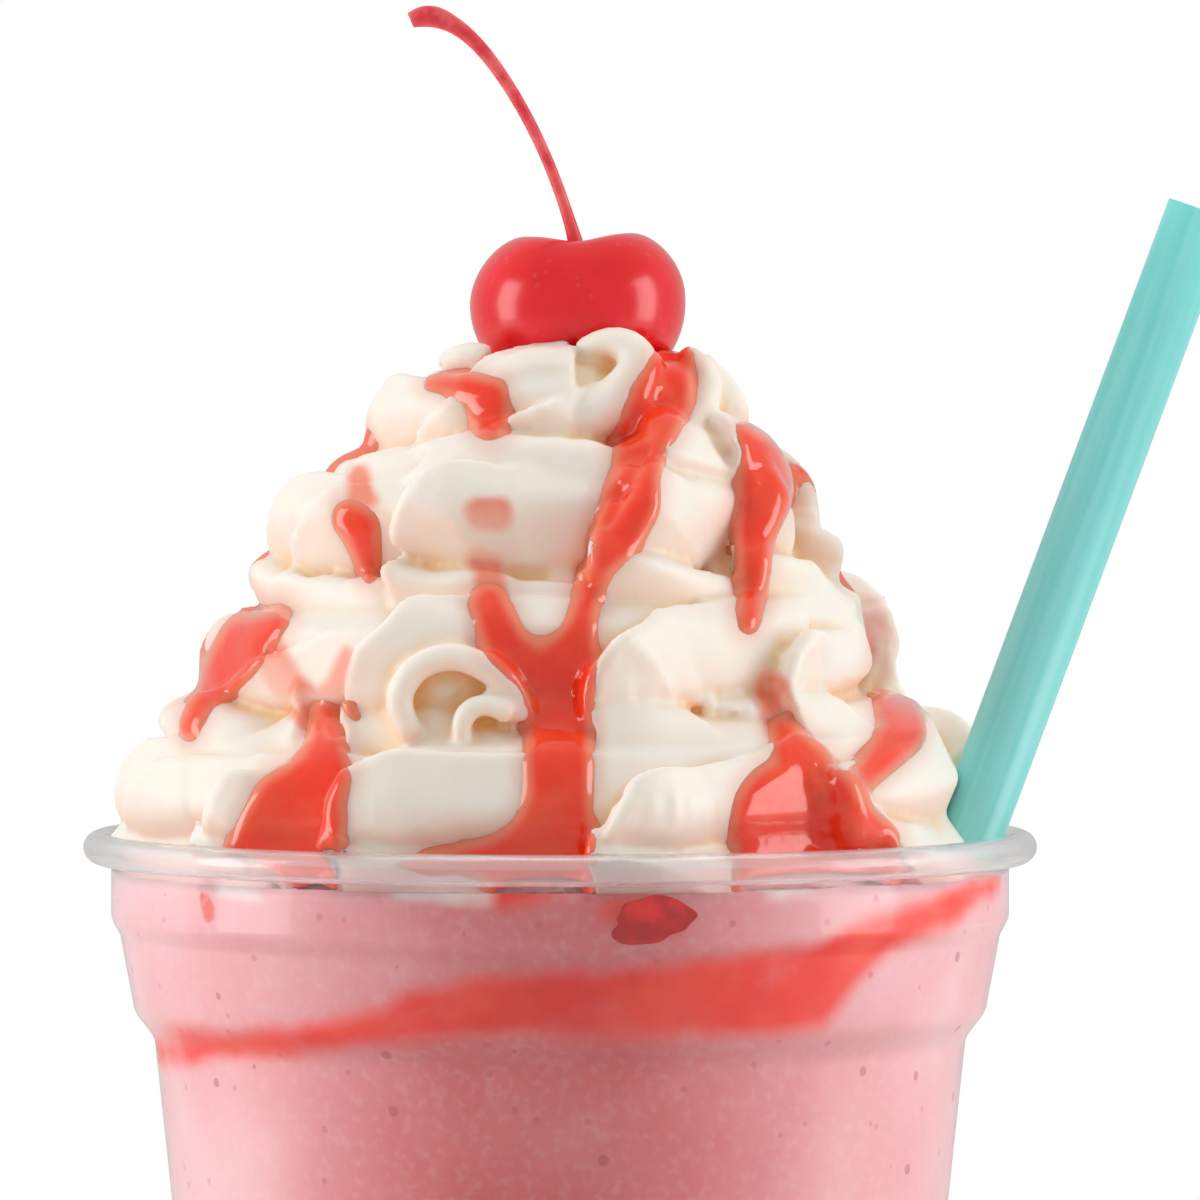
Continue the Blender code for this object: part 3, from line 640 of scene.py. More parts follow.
painted = mix_colours(tree, in_band, froth, band_colour)
cream_edge = calculate(tree, "ADD", attribute(tree, "cream_edge"), ragged)
painted = mix_colours(tree, map_range(tree, cream_edge, 0.6, -1.2), painted, (0.90, 0.78, 0.74))
in_drop = map_range(tree, attribute(tree, "drop_edge"), 0.2, -0.3)
painted = mix_colours(tree, in_drop, painted, (0.85, 0.16, 0.13))
paint(shader, painted)
finish_piece(drink, "milkshake_drink", milkshake, "milkshake")

# %% [markdown]
# A soft piece of strawberry sits against the wall just under the cream. An icosphere is
# flattened, its vertices are pushed in and out by waves, and its outer side is laid on the wall.

# %% Piece of strawberry: place along and up the wall, and half width, depth and height, in mm
CHUNK_ALONG, CHUNK_UP = 9.0, 114.4
CHUNK_SIZE = (4.6, 2.4, 2.2)
CHUNK_TILT = 0.16
chunk = add_primitive(bpy.ops.mesh.primitive_ico_sphere_add, subdivisions=5, radius=1.0)
unit = vertex_places(chunk)
ux, uy, uz = unit.T
ripple = 1 + 0.14 * np.sin(2.3 * ux + 1.0) + 0.10 * np.sin(3.1 * uz + 2.6 * ux)
ripple += 0.04 * np.sin(9.0 * ux + 7.0 * uz)
across, deep, up = (unit * ripple[:, None] * np.array(CHUNK_SIZE)).T
up = up + CHUNK_TILT * across + CHUNK_UP
turn = (CHUNK_ALONG + across) / (NECK_RADIUS / MM)
wall_radii, wall_heights = (np.array(inner_wall) / MM).T
out = np.interp(up, wall_heights, wall_radii) + 0.2 - 1.2 * np.maximum(0, deep + 0.8)
move_vertices(chunk, np.stack([out * np.sin(turn), -out * np.cos(turn), up], axis=1) * MM)
strawberry, tree, shader = new_material(
    "strawberry_flesh", Roughness=0.3, Subsurface_Weight=0.2, Subsurface_Scale=0.002
)
pulpy = patches(tree, 260.0, 5.0, 0.38, 0.62)
flesh = mix_colours(tree, pulpy, (0.55, 0.001, 0.001), (0.95, 0.015, 0.012))
paint(shader, flesh)
finish_piece(chunk, "strawberry_piece", strawberry)

# %% [markdown]
# ## Whipped cream
# The cream is piped as one rope that winds up in four rings, and the nozzle's flutes leave deep
# folds in it. A round rope and a cone are fused by a voxel remesh. Then the skin is pushed out
# fold by fold, much as a sculpting brush would: each fold has a lip, stands highest behind it
# and falls back over its width, so that the next one tucks under.

# %% The rope, ring by ring
RINGS = 4
RING_HEIGHTS = (124.7, 138.8, 152.4, 163.3)
RING_THICKNESSES = (8.8, 8.4, 8.0, 6.2)
RING_BULGES = (4.7, 5.4, 6.4, 4.8)
RING_PITCH = 14.0
TURN_RISE = 0.2
CORE = (112.0, 47.3, 167.0, 8.5)


def ring_share(angle):
    """How far up its climb a ring is at this angle from the front, from -0.5 to 0.5."""
    turn = angle / (2 * math.pi)
    return turn - (1 - TURN_RISE) * np.sin(2 * math.pi * turn) / (2 * math.pi)


def ring_centre(ring, angle):
    """Radius, height and thickness of the rope in mm, bulging from the core."""
    along_rope = ring + ring_share(angle)
    height = np.interp(along_rope, range(RINGS), RING_HEIGHTS)
    thickness = np.interp(along_rope, range(RINGS), RING_THICKNESSES)
    bulge = np.interp(along_rope, range(RINGS), RING_BULGES)
    slope = (CORE[1] - CORE[3]) / (CORE[2] - CORE[0])
    core = CORE[1] - slope * (height - CORE[0])
    return max(1.5, core - (thickness - bulge) * math.hypot(1, slope)), height, thickness


# %% Tubes, ribbons and the fused form
def new_curve(name, dimensions, points, order, **settings):
    """A curve drawn by (x, y, z, radius) points in mm, which reaches both its ends."""
    data = bpy.data.curves.new(name, "CURVE")
    data.dimensions = dimensions
    data.use_fill_caps = True
    for setting, value in settings.items():
        setattr(data, setting, value)
    spline = data.splines.new("NURBS")
    spline.points.add(len(points) - 1)
    for point, (px, py, pz, radius) in zip(spline.points, points):
        point.co = (px * MM, py * MM, pz * MM, 1.0)
        point.radius = radius
    spline.use_endpoint_u = True
    spline.order_u = order
    return bpy.data.objects.new(name, data)


def curve_to_mesh(obj):
    """Makes a curve a closed mesh whose place is in its vertices."""
    bpy.context.scene.collection.objects.link(obj)
    pick(obj)
    bpy.ops.object.convert(target="MESH")
    obj = bpy.context.object
    settle(obj)
    bpy.ops.object.mode_set(mode="EDIT")
    bpy.ops.mesh.select_all(action="SELECT")
    bpy.ops.mesh.remove_doubles(threshold=0.01 * MM)
    bpy.ops.mesh.normals_make_consistent(inside=False)
    bpy.ops.object.mode_set(mode="OBJECT")
    return obj


def add_tube(name, points, smooth=4, sides=2):
    """A smooth tube through (x, y, z, radius) points in mm."""
    rounding = {"bevel_depth": MM, "bevel_resolution": sides, "resolution_u": smooth}
    return curve_to_mesh(new_curve(name, "3D", points, 4, **rounding))


def add_ribbon(distance_mm, depth, thickness, points):
    """A standing ribbon with round edges, which faces the front."""
    ribbon = new_curve(
        "ribbon", "2D", [(px, pz, 0.0, 1.0) for px, pz in points], 3,
        extrude=(depth - thickness / 2) * MM, bevel_depth=thickness / 2 * MM,
        bevel_resolution=4, resolution_u=10,
    )
    ribbon.rotation_euler = (math.pi / 2, 0, 0)
    ribbon.location = (0, (depth - distance_mm) * MM, 0)
    return curve_to_mesh(ribbon)


def fuse(pieces, voxel, smoothing):
    """Joins closed pieces that overlap into one skin."""
    pick(*pieces)
    bpy.ops.object.join()
    fused = bpy.context.object
    apply_modifier(fused, "REMESH", mode="VOXEL", voxel_size=voxel * MM)
    apply_modifier(fused, "SMOOTH", factor=0.5, iterations=smoothing)
    return fused


# %% Rope and core
CREAM_VOXEL = 0.5
POINTS_PER_TURN = 48
rope_points = []
for ring in range(RINGS):
    for i in range(POINTS_PER_TURN):
        angle = 2 * math.pi * (i / POINTS_PER_TURN - 0.5)
        radius, height, thickness = ring_centre(ring, angle)
        rope_points.append((radius * math.sin(angle), -radius * math.cos(angle), height, thickness))
rope = add_tube("rope", rope_points)
core = add_primitive(
    bpy.ops.mesh.primitive_cone_add, vertices=96, radius1=CORE[1] * MM, radius2=CORE[3] * MM,
    depth=(CORE[2] - CORE[0]) * MM, location=(0, 0, (CORE[0] + CORE[2]) / 2 * MM),
)
settle(core)
cream = fuse([core, rope], CREAM_VOXEL, 4)
print("rope and core:", len(cream.data.vertices), "vertices")

# %% [markdown]
# ### Folds
# A fold's lip is drawn as it looks from the front: left to right and upwards, over its ring. The
# side to the right of it rises, and the lip itself leans a little over the left side. Round the
# sides and the back, the same lip is repeated with small changes of place and height.

# %% Lips of the front folds, as ring, height and (x, z) points in mm
FRONT_FOLDS = (
    (0, 1.0, ((-46.6, 118), (-46, 123), (-44, 126), (-41, 128.5), (-36, 130))),
    (0, 1.2, ((-36.5, 117), (-36.5, 122.5), (-35, 125), (-32.5, 127), (-27, 129.5))),
    (0, 1.3, ((-22.5, 117), (-23, 123), (-21.5, 126), (-17.5, 128.5), (-12, 129.6), (-2, 130.4))),
    (0, 1.2, ((4.5, 117), (4.5, 123), (6.5, 125), (10.5, 126.6), (15, 128), (24, 130.6))),
    (0, 1.1, ((35.5, 118.5), (32.5, 121.5), (30.2, 124.5), (29.8, 126.5), (31.5, 128.3), (36, 129.5))),
    (1, 0.9, ((-37, 131), (-37.5, 134.5), (-35.5, 137), (-33, 139), (-29, 141.5))),
    (1, 1.3, ((-21.5, 131), (-21.5, 136), (-20.3, 139.5), (-17.5, 142.5), (-13, 144.6), (-4, 146))),
    (1, 1.3, ((4, 130), (4, 135.5), (5, 138), (6.5, 140), (9, 141.8), (13, 143.4), (22, 145.6))),
    (1, 1.0, ((25.5, 131), (25, 136), (26, 139), (28, 141), (31, 141.5), (35, 142))),
    (1, 0.5, ((-37.6, 131.5), (-37.0, 134.5), (-35.2, 136.8), (-33.4, 135.6))),
    (1, 0.5, ((-32.0, 131.5), (-31.4, 135.0), (-29.8, 137.2), (-27.6, 136.0))),
    (2, 0.6, ((-18.6, 147.0), (-17.6, 150.4), (-15.3, 151.4), (-12.3, 151.0), (-6.7, 148.6))),
    (2, 0.9, ((-30.5, 146), (-30.5, 150.5), (-28.5, 153.5), (-26, 155.5), (-20, 158))),
    (2, 1.2, ((-18, 146), (-18, 153), (-16.5, 155), (-13, 156.3), (-7, 157.3), (4, 159.3))),
    (2, 1.3, ((4, 145), (6.6, 150), (8.5, 153.5), (10.5, 155.5), (13.5, 157.6), (20, 160.3))),
    (2, 1.0, ((21.5, 147), (23, 152), (25, 155), (26, 157), (28, 158.5))),
    (3, 0.4, ((-20, 159), (-18.5, 162.5), (-15.5, 165), (-10, 167.5))),
    (3, 0.8, ((-9, 160), (-6, 163), (-1, 164.6), (4, 166.5))),
    (3, 1.0, ((10, 159), (13.5, 162), (15.3, 165), (14.5, 168.5))),
    (3, 1.1, ((16.5, 159), (18.5, 162.5), (19, 165.5), (17, 168.5))),
)
RING_OUTER = (47.0, 39.0, 31.5, 22.0)
FOLD_LIP = ((0, -6), (0, -1.5), (1.5, 1.5), (5, 4), (11, 5.8), (18, 6.5))
BACK_FOLDS_FROM, BACK_FOLDS_TO = 78, 285
BACK_FOLDS_PER_RING = (6, 5, 4, 3)
FOLD_HEIGHT = 4.4
FOLD_WIDTH = 17.0
LIP_ROUND = 0.9
LIP_OVERHANG = 2.2
HOLLOWS = (
    (-18.5, 133.0, 3.0, 2.5), (13.5, 133.0, 4.0, 0.7), (-13.5, 148.0, 4.0, 2.5),
    (15.0, 147.0, 5.0, 0.8), (-29.0, 133.0, 3.5, 2.0), (28.0, 143.0, 2.5, 2.5),
)


# %% Lips laid on the rope's skin
def on_skin(tree, angle, height):
    """The point of the skin, in mm, at this angle from the front and height."""
    out = Vector((math.sin(angle), -math.cos(angle), 0.0))
    hit = tree.ray_cast(out * 60 * MM + Vector((0, 0, height * MM)), -out)[0]
    return np.array(hit / MM if hit else out * 8 + Vector((0, 0, height)))


skin = BVHTree.FromObject(cream, bpy.context.evaluated_depsgraph_get())
lips = []
for ring, height, points in FRONT_FOLDS:
    angles = [math.asin(max(-0.999, min(0.999, px / RING_OUTER[ring]))) for px, pz in points]
    lips.append((ring, height, [on_skin(skin, a, pz) for a, (px, pz) in zip(angles, points)]))
for ring, count in enumerate(BACK_FOLDS_PER_RING):
    for i in range(count):
        share = (i + 0.5 + 0.22 * math.sin(5.1 * i + 2.3 * ring)) / count
        angle = math.radians(BACK_FOLDS_FROM + (BACK_FOLDS_TO - BACK_FOLDS_FROM) * share)
        radius, up, thickness = ring_centre(ring, angle - 2 * math.pi if angle > math.pi else angle)
        lip = [on_skin(skin, angle + a / (radius + thickness), up + b) for a, b in FOLD_LIP]
        lips.append((ring, 1.0 + 0.2 * math.sin(3.7 * i + 1.9 * ring), lip))
print(len(lips), "folds")


# %% Raising the folds
def nearest_on_lip(places, lip):
    """For each place: distance to the lip, the nearest point, its direction and its share along."""
    best = np.full(len(places), np.inf)
    near = np.zeros_like(places)
    heading = np.zeros_like(places)
    share_along = np.zeros(len(places))
    for i in range(len(lip) - 1):
        run = lip[i + 1] - lip[i]
        length = np.linalg.norm(run)
        share = np.clip((places - lip[i]) @ run / length ** 2, 0, 1)
        point = lip[i] + share[:, None] * run
        away = np.linalg.norm(places - point, axis=1)
        closer = away < best
        best[closer] = away[closer]
        near[closer] = point[closer]
        heading[closer] = run / length
        share_along[closer] = (i + share[closer]) / (len(lip) - 1)
    return best, near, heading, share_along


def ring_mask(places, ring):
    """1 on the lower part of this ring's skin, less near its top, 0 past the grooves round it."""
    share = ring_share(np.arctan2(places[:, 0], -places[:, 1]))
    up = (places[:, 2] - np.interp(ring + share, range(RINGS), RING_HEIGHTS)) / RING_PITCH
    low = -0.9 if ring == 0 else -0.5
    high = 1.2 if ring == RINGS - 1 else 0.5
    mask = soft_step(up, low - 0.05, low + 0.08) * (1 - soft_step(up, high - 0.08, high + 0.05))
    return mask * (1 - 0.3 * soft_step(up, 0.0, 0.5))


def raise_folds(places, normals):
    relief = np.zeros(len(places))
    shift = np.zeros_like(places)
    for ring, height, lip in lips:
        away, near, heading, share_along = nearest_on_lip(places, lip)
        inward = np.cross(heading, normals)
        inside = np.einsum("ij,ij->i", inward, places - near) > 0
        rounding = np.sqrt(1 - (1 - np.clip(away / LIP_ROUND, 0, 1)) ** 2)
        rise = (1 - np.clip(away / FOLD_WIDTH, 0, 1)) ** 1.25 * rounding
        rise *= (1 - 0.75 * soft_step(share_along, 0.55, 1.0)) * ring_mask(places, ring) * inside
        rise *= height * FOLD_HEIGHT
        higher = rise > relief
        relief[higher] = rise[higher]
        over = LIP_OVERHANG * np.exp(-away / (2 * LIP_ROUND)) * rise / FOLD_HEIGHT
        shift[higher] = (-inward * over[:, None])[higher]
    for px, pz, spread, depth in HOLLOWS:
        away = np.hypot(places[:, 0] - px, places[:, 2] - pz) / spread
        relief -= depth * np.exp(-away ** 2) * (places[:, 1] < 0)
    return places + normals * relief[:, None] + shift


folded = raise_folds(vertex_places(cream) / MM, vertex_normals(cream))
move_vertices(cream, folded * MM)
print("highest fold reaches", round(folded[:, 2].max(), 1), "mm")

# %% [markdown]
# ### Curls and the top
# Two curls roll up at the front of the second ring. At the top, the last of the cream makes a
# small dome, a thick curled lip and two thin bands that hold the cherry. They are tubes and
# ribbons, fused to the rest, and then the folds are sharpened as by a crisp brush.

# %% Curls, dome, lip and bands
SCROLLS = (
    (36.5, 5.0, 2.6, ((-14.5, 132.2), (-15.8, 134.5), (-15.6, 137), (-13.8, 139.3), (-10.5, 140.2),
                      (-7.2, 139), (-4.8, 136.4), (-3.6, 133.8))),
    (37.5, 5.0, 2.0, ((-9.6, 131.4), (-9.7, 133.4), (-8.6, 135), (-6.6, 135.4), (-4.8, 134.4))),
)
TOP_TUBES = (
    ((-6.6, -10.4, 165.6, 3.0), (-2.8, -11.4, 167.8, 4.1), (0.6, -11.4, 166.8, 3.6)),
    ((2.4, -9.8, 170.0, 1.3), (4.6, -10.4, 171.2, 1.6), (7.0, -11.2, 170.8, 1.9),
     (8.2, -12.2, 168.6, 2.3), (6.8, -13.4, 165.8, 2.7), (3.4, -14.2, 163.4, 3.0),
     (-1.5, -14.4, 161.6, 2.6), (-6.0, -14.0, 160.6, 2.0)),
    ((-11.2, -5.5, 168.2, 1.7), (-9.6, -6.4, 169.4, 2.2), (-7.8, -7.2, 168.8, 1.9)),
    ((12.6, -7.2, 169.6, 1.2), (14.6, -8.4, 168.6, 1.4), (15.7, -9.8, 166.2, 1.5),
     (13.8, -13.8, 162.4, 1.7), (10.3, -17.4, 159.8, 1.6)),
    ((14.2, -4.0, 169.0, 1.2), (17.2, -6.0, 166.4, 1.4), (18.6, -8.2, 163.8, 1.5),
     (17.4, -12.2, 161.4, 1.4)),
)
CRISPNESS = 1.1
extras = [add_ribbon(*scroll) for scroll in SCROLLS]
extras += [add_tube("top", points, smooth=8, sides=4) for points in TOP_TUBES]
cream = fuse(extras + [cream], CREAM_VOXEL, 2)
form = vertex_places(cream) / MM
ends = edge_ends(cream)
crisp = np.einsum("ij,ij->i", form - averaged(form, ends, 14), vertex_normals(cream))
crisp = np.clip(averaged(crisp, ends, 2), -0.6, 0.6)
move_vertices(cream, (form + vertex_normals(cream) * crisp[:, None] * CRISPNESS) * MM)
print("cream form:", len(cream.data.vertices), "vertices")

# %% [markdown]
# ### Fitting the cream into the cup
# The cream may fill the neck, lie over the rolled rim and stand above it. A turned shape of that
# space is intersected with the form, and the straw's way and the cherry's bed are cut out.

# %% Cherry shape, which the cream needs as a bed
CHERRY_RADIUS = 11.1
CHERRY_PLACE = (1.8, 1.5, 175.2)


def add_cherry(name, segments, ring_count):
    """A wide round fruit with a dimple under its stem and a cleft across its top."""
    obj = add_primitive(
        bpy.ops.mesh.primitive_uv_sphere_add,
        segments=segments, ring_count=ring_count, radius=CHERRY_RADIUS * MM,
    )
    obj.name = name
    px, py, pz = (vertex_places(obj) / MM).T
    from_stem = np.hypot(px, py)
    upper = pz > 0
    pz = pz * np.where(upper, 0.80, 0.92)
    dent = 3.6 * np.exp(-((from_stem / 4.2) ** 2))
    cleft = 0.7 * np.exp(-((px / 3) ** 2)) * np.minimum(1.0, from_stem / 4.2) * np.clip(pz / 4, 0, 1)
    pz = pz + np.where(upper, 0.035 * px - dent - cleft, 0)
    move_vertices(obj, (np.stack([px, py, pz], axis=1) + CHERRY_PLACE) * MM)
    return obj


# %% Cutting the cream to its space
roll_top = arc(roll_centre, ROLL_RADIUS + 0.05 * MM, 60, 180, 16)
space_section = [(0.0, 200 * MM), (60 * MM, 200 * MM), (60 * MM, roll_top[0][1])] + roll_top
space_section += [(NECK_RADIUS - 0.05 * MM, DRINK_LEVEL - 0.3 * MM), (0.0, DRINK_LEVEL - 0.3 * MM)]
space = spin_section(draw_section("cream_space", space_section), 144)
apply_modifier(cream, "BOOLEAN", operation="INTERSECT", object=space)
bpy.data.objects.remove(space, do_unlink=True)
bed = add_cherry("cherry_bed", 56, 32)
apply_modifier(cream, "BOOLEAN", operation="DIFFERENCE", object=bed)
bpy.data.objects.remove(bed, do_unlink=True)
cut_straw_way(cream)
triangles = sum(len(f.vertices) - 2 for f in cream.data.polygons)
CREAM_TRIANGLES = 190000
if triangles > CREAM_TRIANGLES:
    apply_modifier(cream, "DECIMATE", ratio=CREAM_TRIANGLES / triangles)
print("cream", sum(len(f.vertices) - 2 for f in cream.data.polygons), "triangles")

# %% [markdown]
# ### Cream finish
# Whipped cream is warm white. Deep in its folds a darker yellow is painted, as painted shade and
# the glow of light that bounces and passes through the fat. How deep a place lies is measured by
# comparing the skin with a much smoothed copy of it, and stored as an attribute. Sides that face
# down get a warmer, darker painted shade too. Sauce leaves a pink stain beside each run, and the
# foot of the cream is soaked with the drink.

# %% Runs of sauce, as (x, z, half width) in mm seen from the front
FRONT_SAUCE = (
    ((11.6, 169.4, 2.4), (10.2, 165.3, 3.4), (8.3, 161.6, 2.9), (7.7, 158.1, 2.5), (7.1, 155.2, 3.1),
     (5.8, 151.9, 2.7), (4.1, 148.6, 1.3), (3.2, 146.7, 1.3)),
    ((2.9, 146.7, 1.2), (2.2, 143, 1.7), (1.0, 139.5, 3.2), (0, 134.3, 3.5), (0, 126, 3.4),
     (-0.6, 122, 4.5), (-2.2, 119, 5.2)),
    ((-7.0, 145.3, 2.0), (-5.3, 141, 2.4), (-1.0, 137.5, 2.6)),
    ((-16.5, 119.4, 0.6), (-8, 120.4, 1.8), (-2, 119.8, 4.0), (0.5, 117, 3.6)),
    ((-13.2, 167.0, 0.8), (-9.5, 166.8, 1.6), (-7.2, 165.5, 2.3), (-7.0, 163.4, 2.2)),
    ((18.5, 162.2, 1.0), (20.6, 159.5, 2.6), (20.9, 156.5, 3.2), (19.7, 152, 2.2),
     (19.5, 147, 1.6), (19.0, 143.2, 1.3)),
    ((-21.2, 153.4, 2.0), (-20.2, 152.6, 2.2), (-19.4, 149.0, 1.4), (-19.1, 147.4, 0.9)),
    ((-28.6, 142.9, 1.4), (-32.0, 140.6, 3.0), (-34.6, 137.4, 2.4), (-36.6, 134.4, 1.4),
     (-37.6, 132.2, 1.3)),
    ((-23.5, 134.0, 1.4), (-23.2, 131.0, 2.2), (-23.6, 128.4, 3.2), (-26.0, 124.0, 5.2),
     (-27.2, 119.6, 6.4)),
    ((33.4, 140.6, 1.2), (34.4, 136.4, 2.8), (34.8, 132, 2.6), (30.8, 128.2, 1.6)),
    ((22.6, 132.4, 1.6), (24.2, 128.4, 3.4), (23.8, 123.4, 7.0), (25.4, 119.4, 9.0)),
)
THIN_SAUCE = (
    ((-7.8, 154.0, 2.0), (-6.4, 154.0, 2.0)), ((-20.5, 157.8, 1.3), (-20.0, 155.5, 1.9)),
    ((-8.2, 149.6, 1.5), (-7.0, 148.6, 1.9), (-6.9, 146.6, 1.7)),
    ((21.3, 136.3, 2.1), (22.2, 133.0, 1.9)),
    ((-30.0, 141.0, 1.9), (-27.6, 137.0, 2.1), (-24.6, 133.8, 2.3), (-22.6, 136.5, 1.5),
     (-21.2, 140.2, 0.7)),
)
BACK_SAUCE = ((100, 158, 139, 2.4), (138, 163, 131, 3.0), (185, 160, 145, 2.6),
              (214, 152, 119, 3.6), (262, 161, 136, 2.6))
SAUCE_FILLET = 1.6
SIDE_LIMIT = 5.0


def sauce_distance(places):
    """Distance in mm from the edge of the sauce over the cream, below zero inside it."""
    px, py, pz = places.T
    found = np.full(len(places), 50.0)
    for run in FRONT_SAUCE:
        found = np.where(py < SIDE_LIMIT, blended(found, run_distance(px, pz, run), SAUCE_FILLET), found)
    for degrees, top, foot, half in BACK_SAUCE:
        angle = math.radians(degrees)
        across = px * math.cos(angle) + py * math.sin(angle)
        outside = px * math.sin(angle) - py * math.cos(angle) > 0
        middle = (top + foot) / 2
        run = ((0, top, half * 0.6), (1.5, middle, half), (0, foot, half * 0.7))
        found = np.where(outside, blended(found, run_distance(across, pz, run), SAUCE_FILLET), found)
    return found


# %% Depth of the folds and nearness of the sauce, per vertex
cream_places = vertex_places(cream) / MM
cream_ends = edge_ends(cream)
DEPTH_ROUNDS = 60
smoothed = averaged(cream_places, cream_ends, DEPTH_ROUNDS)
depth = np.einsum("ij,ij->i", smoothed - cream_places, vertex_normals(cream))
depth = averaged(depth, cream_ends, 3)
sauce_away = averaged(sauce_distance(cream_places), cream_ends, 4)
thin_away = np.full(len(cream_places), 50.0)
for run in THIN_SAUCE:
    found = run_distance(cream_places[:, 0], cream_places[:, 2], run)
    thin_away = np.where(cream_places[:, 1] < 0, np.minimum(thin_away, found), thin_away)
mark(cream, "fold_depth", depth)
mark(cream, "sauce_away", np.clip(sauce_away, -5, 10))
mark(cream, "thin_sauce_away", np.clip(thin_away, -5, 10))
print("deepest fold", round(depth.max(), 2), "mm below the smoothed skin")

# %% Whipped cream
whipped_cream, tree, shader = new_material(
    "whipped_cream", Roughness=0.42, Subsurface_Weight=0.45, Subsurface_Scale=0.0022,
    Subsurface_Radius=(1.0, 0.62, 0.34),
)
# Painted shade: deep in the folds the cream is painted a darker yellow, for shade and light bounced
# through the fat.
painted_fold_shade = map_range(tree, attribute(tree, "fold_depth"), -0.05, 1.2)
colour = mix_colours(tree, painted_fold_shade, (0.95, 0.875, 0.79), (0.99, 0.60, 0.22))
near_sauce = map_range(tree, attribute(tree, "sauce_away"), 2.2, 0.0, 0.0, 0.5)
colour = mix_colours(tree, near_sauce, colour, (0.90, 0.50, 0.40))
wobble = calculate(tree, "SUBTRACT", noise(tree, 300.0, 3.0), 0.5)
thin = calculate(tree, "ADD", attribute(tree, "thin_sauce_away"), wobble)
colour = mix_colours(tree, map_range(tree, thin, 0.4, -1.0, 0.0, 0.95), colour, (0.96, 0.28, 0.18))
place = add_node(tree, "ShaderNodeSeparateXYZ")
tree.links.new(object_coordinates(tree), place.inputs["Vector"])
soaked = map_range(tree, place.outputs["Z"], 0.1205, 0.1185, 0.0, 0.8)
# Painted shade: sides of the cream that face down are painted a warmer, darker colour, yellower deep in
# the folds.
facing = add_node(tree, "ShaderNodeSeparateXYZ")
tree.links.new(add_node(tree, "ShaderNodeTexCoord").outputs["Normal"], facing.inputs["Vector"])
painted_underside_shade = map_range(tree, facing.outputs["Z"], 0.35, -0.75)
painted_shade_colour = mix_colours(tree, painted_fold_shade, (0.93, 0.70, 0.58), (0.97, 0.52, 0.22))
colour = mix_colours(tree, painted_underside_shade, colour, painted_shade_colour)
colour = mix_colours(tree, soaked, colour, (0.93, 0.52, 0.50))
paint(shader, colour)
bubbles = speckles(tree, 260.0, 0.16, 0.10, -2.0)
add_bump(tree, shader, calculate(tree, "ADD", noise(tree, 900.0, 2.0), bubbles), 0.14, 0.15)
finish_piece(cream, "piped_cream", whipped_cream, "whipped_cream")

# %% [markdown]
# ## Sauce
# The sauce is a glossy, see-through red syrup that lies on the cream with a rounded edge. It is
# made from a copy of the cream's skin: only what lies under a run is kept, its folds are
# smoothed, it is lifted to the sauce's height, and Solidify closes it from below. A voxel remesh
# clears the creases, specks that came loose are deleted, and the rest is kept inside the rim.

# %% Sauce over the cream
SAUCE_THICKNESS = 0.85
SAUCE_EDGE = 1.6
SAUCE_REACH = 1.6
SAUCE_TUCK = 0.9
TUCK_WIDTH = 1.2
SAUCE_SHEET = 1.3 * MM
SAUCE_VOXEL = 0.4 * MM
FLOW_ROUNDS = 40
SMALLEST_RUN = 400
pick(cream)
bpy.ops.object.duplicate()
sauce = bpy.context.object
sauce.name = "sauce"
for name in ("fold_depth", "sauce_away", "thin_sauce_away"):
    sauce.data.attributes.remove(sauce.data.attributes[name])
keep = sauce_away < SAUCE_REACH
face_keep = np.array([all(keep[v] for v in f.vertices) for f in sauce.data.polygons])
sauce.data.polygons.foreach_set("select", ~face_keep)
bpy.context.view_layer.objects.active = sauce
bpy.ops.object.mode_set(mode="EDIT")
bpy.ops.mesh.select_mode(type="FACE")
bpy.ops.mesh.delete(type="FACE")
bpy.ops.object.mode_set(mode="OBJECT")
print("sauce skin", len(sauce.data.polygons), "faces")

# %% Lifting the sauce and closing it
sauce_places = vertex_places(sauce) / MM
sauce_ends = edge_ends(sauce)
inside = -averaged(sauce_distance(sauce_places), sauce_ends, 4)
body = np.clip(inside / SAUCE_EDGE, 0, 1)
height = SAUCE_THICKNESS * np.sqrt(1 - (1 - body) ** 2)
height = height - SAUCE_TUCK * np.clip(-inside / TUCK_WIDTH, 0, 1)
flowing = averaged(sauce_places, sauce_ends, FLOW_ROUNDS)
share = body[:, None]
lifted = sauce_places * (1 - share) + flowing * share + vertex_normals(sauce) * height[:, None]
lifted = averaged(lifted, sauce_ends, 2)
move_vertices(sauce, lifted * MM)
apply_modifier(sauce, "SOLIDIFY", thickness=SAUCE_SHEET, offset=-1.0)
apply_modifier(sauce, "REMESH", mode="VOXEL", voxel_size=SAUCE_VOXEL)
apply_modifier(sauce, "SMOOTH", factor=0.5, iterations=14)

# %% Leaving out loose specks
pick(sauce)
bpy.ops.object.mode_set(mode="EDIT")
bpy.ops.mesh.select_all(action="SELECT")
bpy.ops.mesh.separate(type="LOOSE")
bpy.ops.object.mode_set(mode="OBJECT")
runs = list(bpy.context.selected_objects)
for specks in [run for run in runs if len(run.data.vertices) < SMALLEST_RUN]:
    bpy.data.objects.remove(specks, do_unlink=True)
runs = list(bpy.context.selected_objects)
pick(*runs)
bpy.ops.object.join()
sauce = bpy.context.object
print(len(runs), "runs of sauce")

